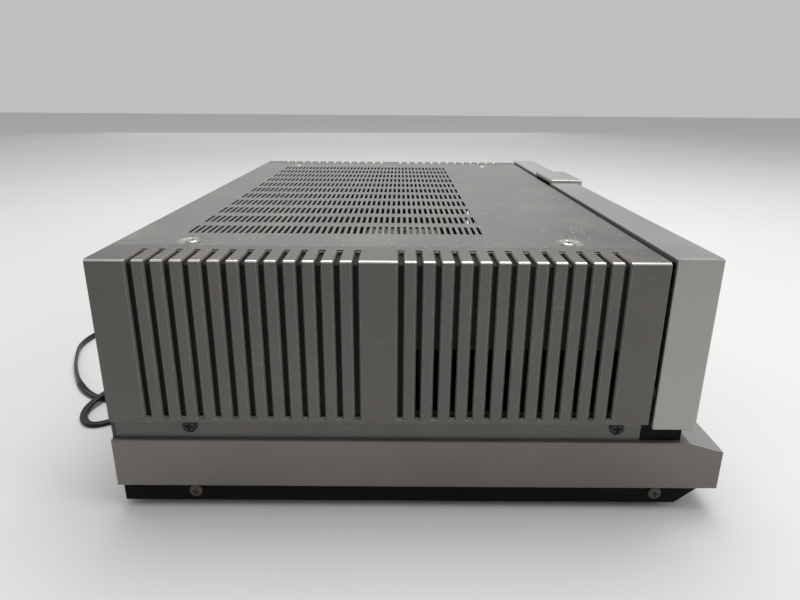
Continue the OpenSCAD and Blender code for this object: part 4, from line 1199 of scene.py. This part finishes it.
# %% Heat sinks, boards, transformer, capacitors, relays
fins = Finish("black_anodised", (0.022, 0.022, 0.025), 0.42, 0.6)
fins.vary(0.8, 1.25, 12.0, 0.1).grain((2200.0, 2200.0, 30.0), 0.15, 0.4)
fins.edges((0.12, 0.12, 0.125), 0.0003, 0.4, 0.35, 0.9).dust(0.12, 0.3)
dress(fins.done(), "heat_sink_left", "heat_sink_right")

core = Finish("core_steel", (0.10, 0.095, 0.09), 0.5, 0.5)
core.vary(0.7, 1.3, 30.0, 0.1).grain((20.0, 3000.0, 20.0), 0.35, 1.0)
core.edges((0.30, 0.27, 0.24), 0.0004, 0.5, 0.4, 0.8).dust(0.4, 0.4)
dress(core.done(0.0001), "transformer_core")

winding = Finish("winding_tape", (0.44, 0.27, 0.09), 0.38)
winding.vary(0.8, 1.15, 25.0, 0.08).grain((60.0, 60.0, 900.0), 0.12, 1.0)
dress(winding.dust(0.4, 0.3).done(0.0001), "transformer_winding")

cans = Finish("capacitor_sleeve", (0.030, 0.048, 0.068), 0.30)
cans.vary(0.85, 1.15, 18.0, 0.08)
CAN_RIM = 0.0052        # how far down the sleeve stops below the can's bare top
can_height = cans.altitude()
can_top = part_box("filter_capacitors")[1].z - CAN_RIM
cans.cover(calc(cans.tree, "GREATER_THAN", can_height, can_top), (0.62, 0.61, 0.58), 0.35, 0.9)
dress(cans.edges((0.35, 0.37, 0.40), 0.0005, 0.4, 0.3, 0.2).dust(0.4, 0.4).done(), "filter_capacitors")


def board(name, colour, copper, *names):
    """Board laminate with a pattern of tracks under its lacquer."""
    finish = Finish(name, colour, 0.42)
    finish.vary(0.85, 1.15, 30.0, 0.1)
    squares = add(finish.tree, "TexVoronoi", {"Vector": finish.where, "Scale": 140.0},
                  distance="CHEBYCHEV").outputs["Distance"]
    tracks = spread(finish.tree, squares, 0.34, 0.38)
    finish.cover(calc(finish.tree, "MULTIPLY", tracks, 0.6), copper, 0.35, 0.3)
    dress(finish.dust(0.45, 0.4).done(0.0001), *names)


board("driver_board", (0.045, 0.10, 0.035), (0.09, 0.17, 0.05), "driver_board_left", "driver_board_right")
board("supply_board_brown", (0.19, 0.10, 0.035), (0.30, 0.17, 0.06), "supply_board")

relay = Finish("relay_case", (0.10, 0.20, 0.36), 0.2)
relay.vary(0.85, 1.15, 60.0, 0.1).edges((0.4, 0.5, 0.65), 0.0004, 0.5, 0.2, 0.0)
dress(relay.done(Alpha=0.8), "protection_relay")

# %% [markdown]
# ## Floor and light
#
# A plain pale floor runs to the horizon, under a pale sky that lights everything softly.
# One wide lamp hangs over the case, and a weaker one stands in front and another beyond
# the far side. The top and the silver front are brighter than the side, and a soft shadow
# lies under the tray.

# %% Floor
FLOOR_HALF = 6.0
bpy.ops.mesh.primitive_plane_add(size=2 * FLOOR_HALF)
floor = bpy.context.object
floor.name = "studio_floor"
floor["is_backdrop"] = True
floor_finish = Finish("studio_floor", (0.66, 0.66, 0.65), 0.75)
floor_finish.vary(0.985, 1.01, 3.0, 0.0)
floor.data.materials.append(floor_finish.done())

# %% Light
world = bpy.data.worlds.new("studio")
world.use_nodes = True
background = world.node_tree.nodes["Background"]
background.inputs["Color"].default_value = (0.86, 0.87, 0.86, 1.0)
background.inputs["Strength"].default_value = 0.60
bpy.context.scene.world = world
bpy.context.scene.view_settings.view_transform = "Standard"


def soft_lamp(name, place, target, size, power):
    """A square soft box that points at a target."""
    lamp = bpy.data.lights.new(name, "AREA")
    lamp.size = size
    lamp.energy = power
    holder = bpy.data.objects.new(name, lamp)
    holder.location = place
    holder.rotation_euler = (Vector(target) - Vector(place)).to_track_quat("-Z", "Y").to_euler()
    bpy.context.scene.collection.objects.link(holder)


soft_lamp("overhead", (0.25, -0.15, 1.7), (0.0, 0.0, 0.05), 1.4, 26.0)
soft_lamp("front_fill", (-0.6, -1.6, 1.0), (0.0, 0.0, 0.05), 1.0, 8.0)
soft_lamp("far_glow", (2.6, 0.3, 1.2), (0.0, 0.0, 0.10), 2.5, 7.0)
print("floor and lights ready")

# %% [markdown]
# ## Close
#
# The box round the visual model is printed, in millimetres. The visual model has to stay
# the size of the CAD model.

# %% Sizes and finish
low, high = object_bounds()
print("visual box, mm:", [round(c / MM, 1) for c in (*low, *high)])
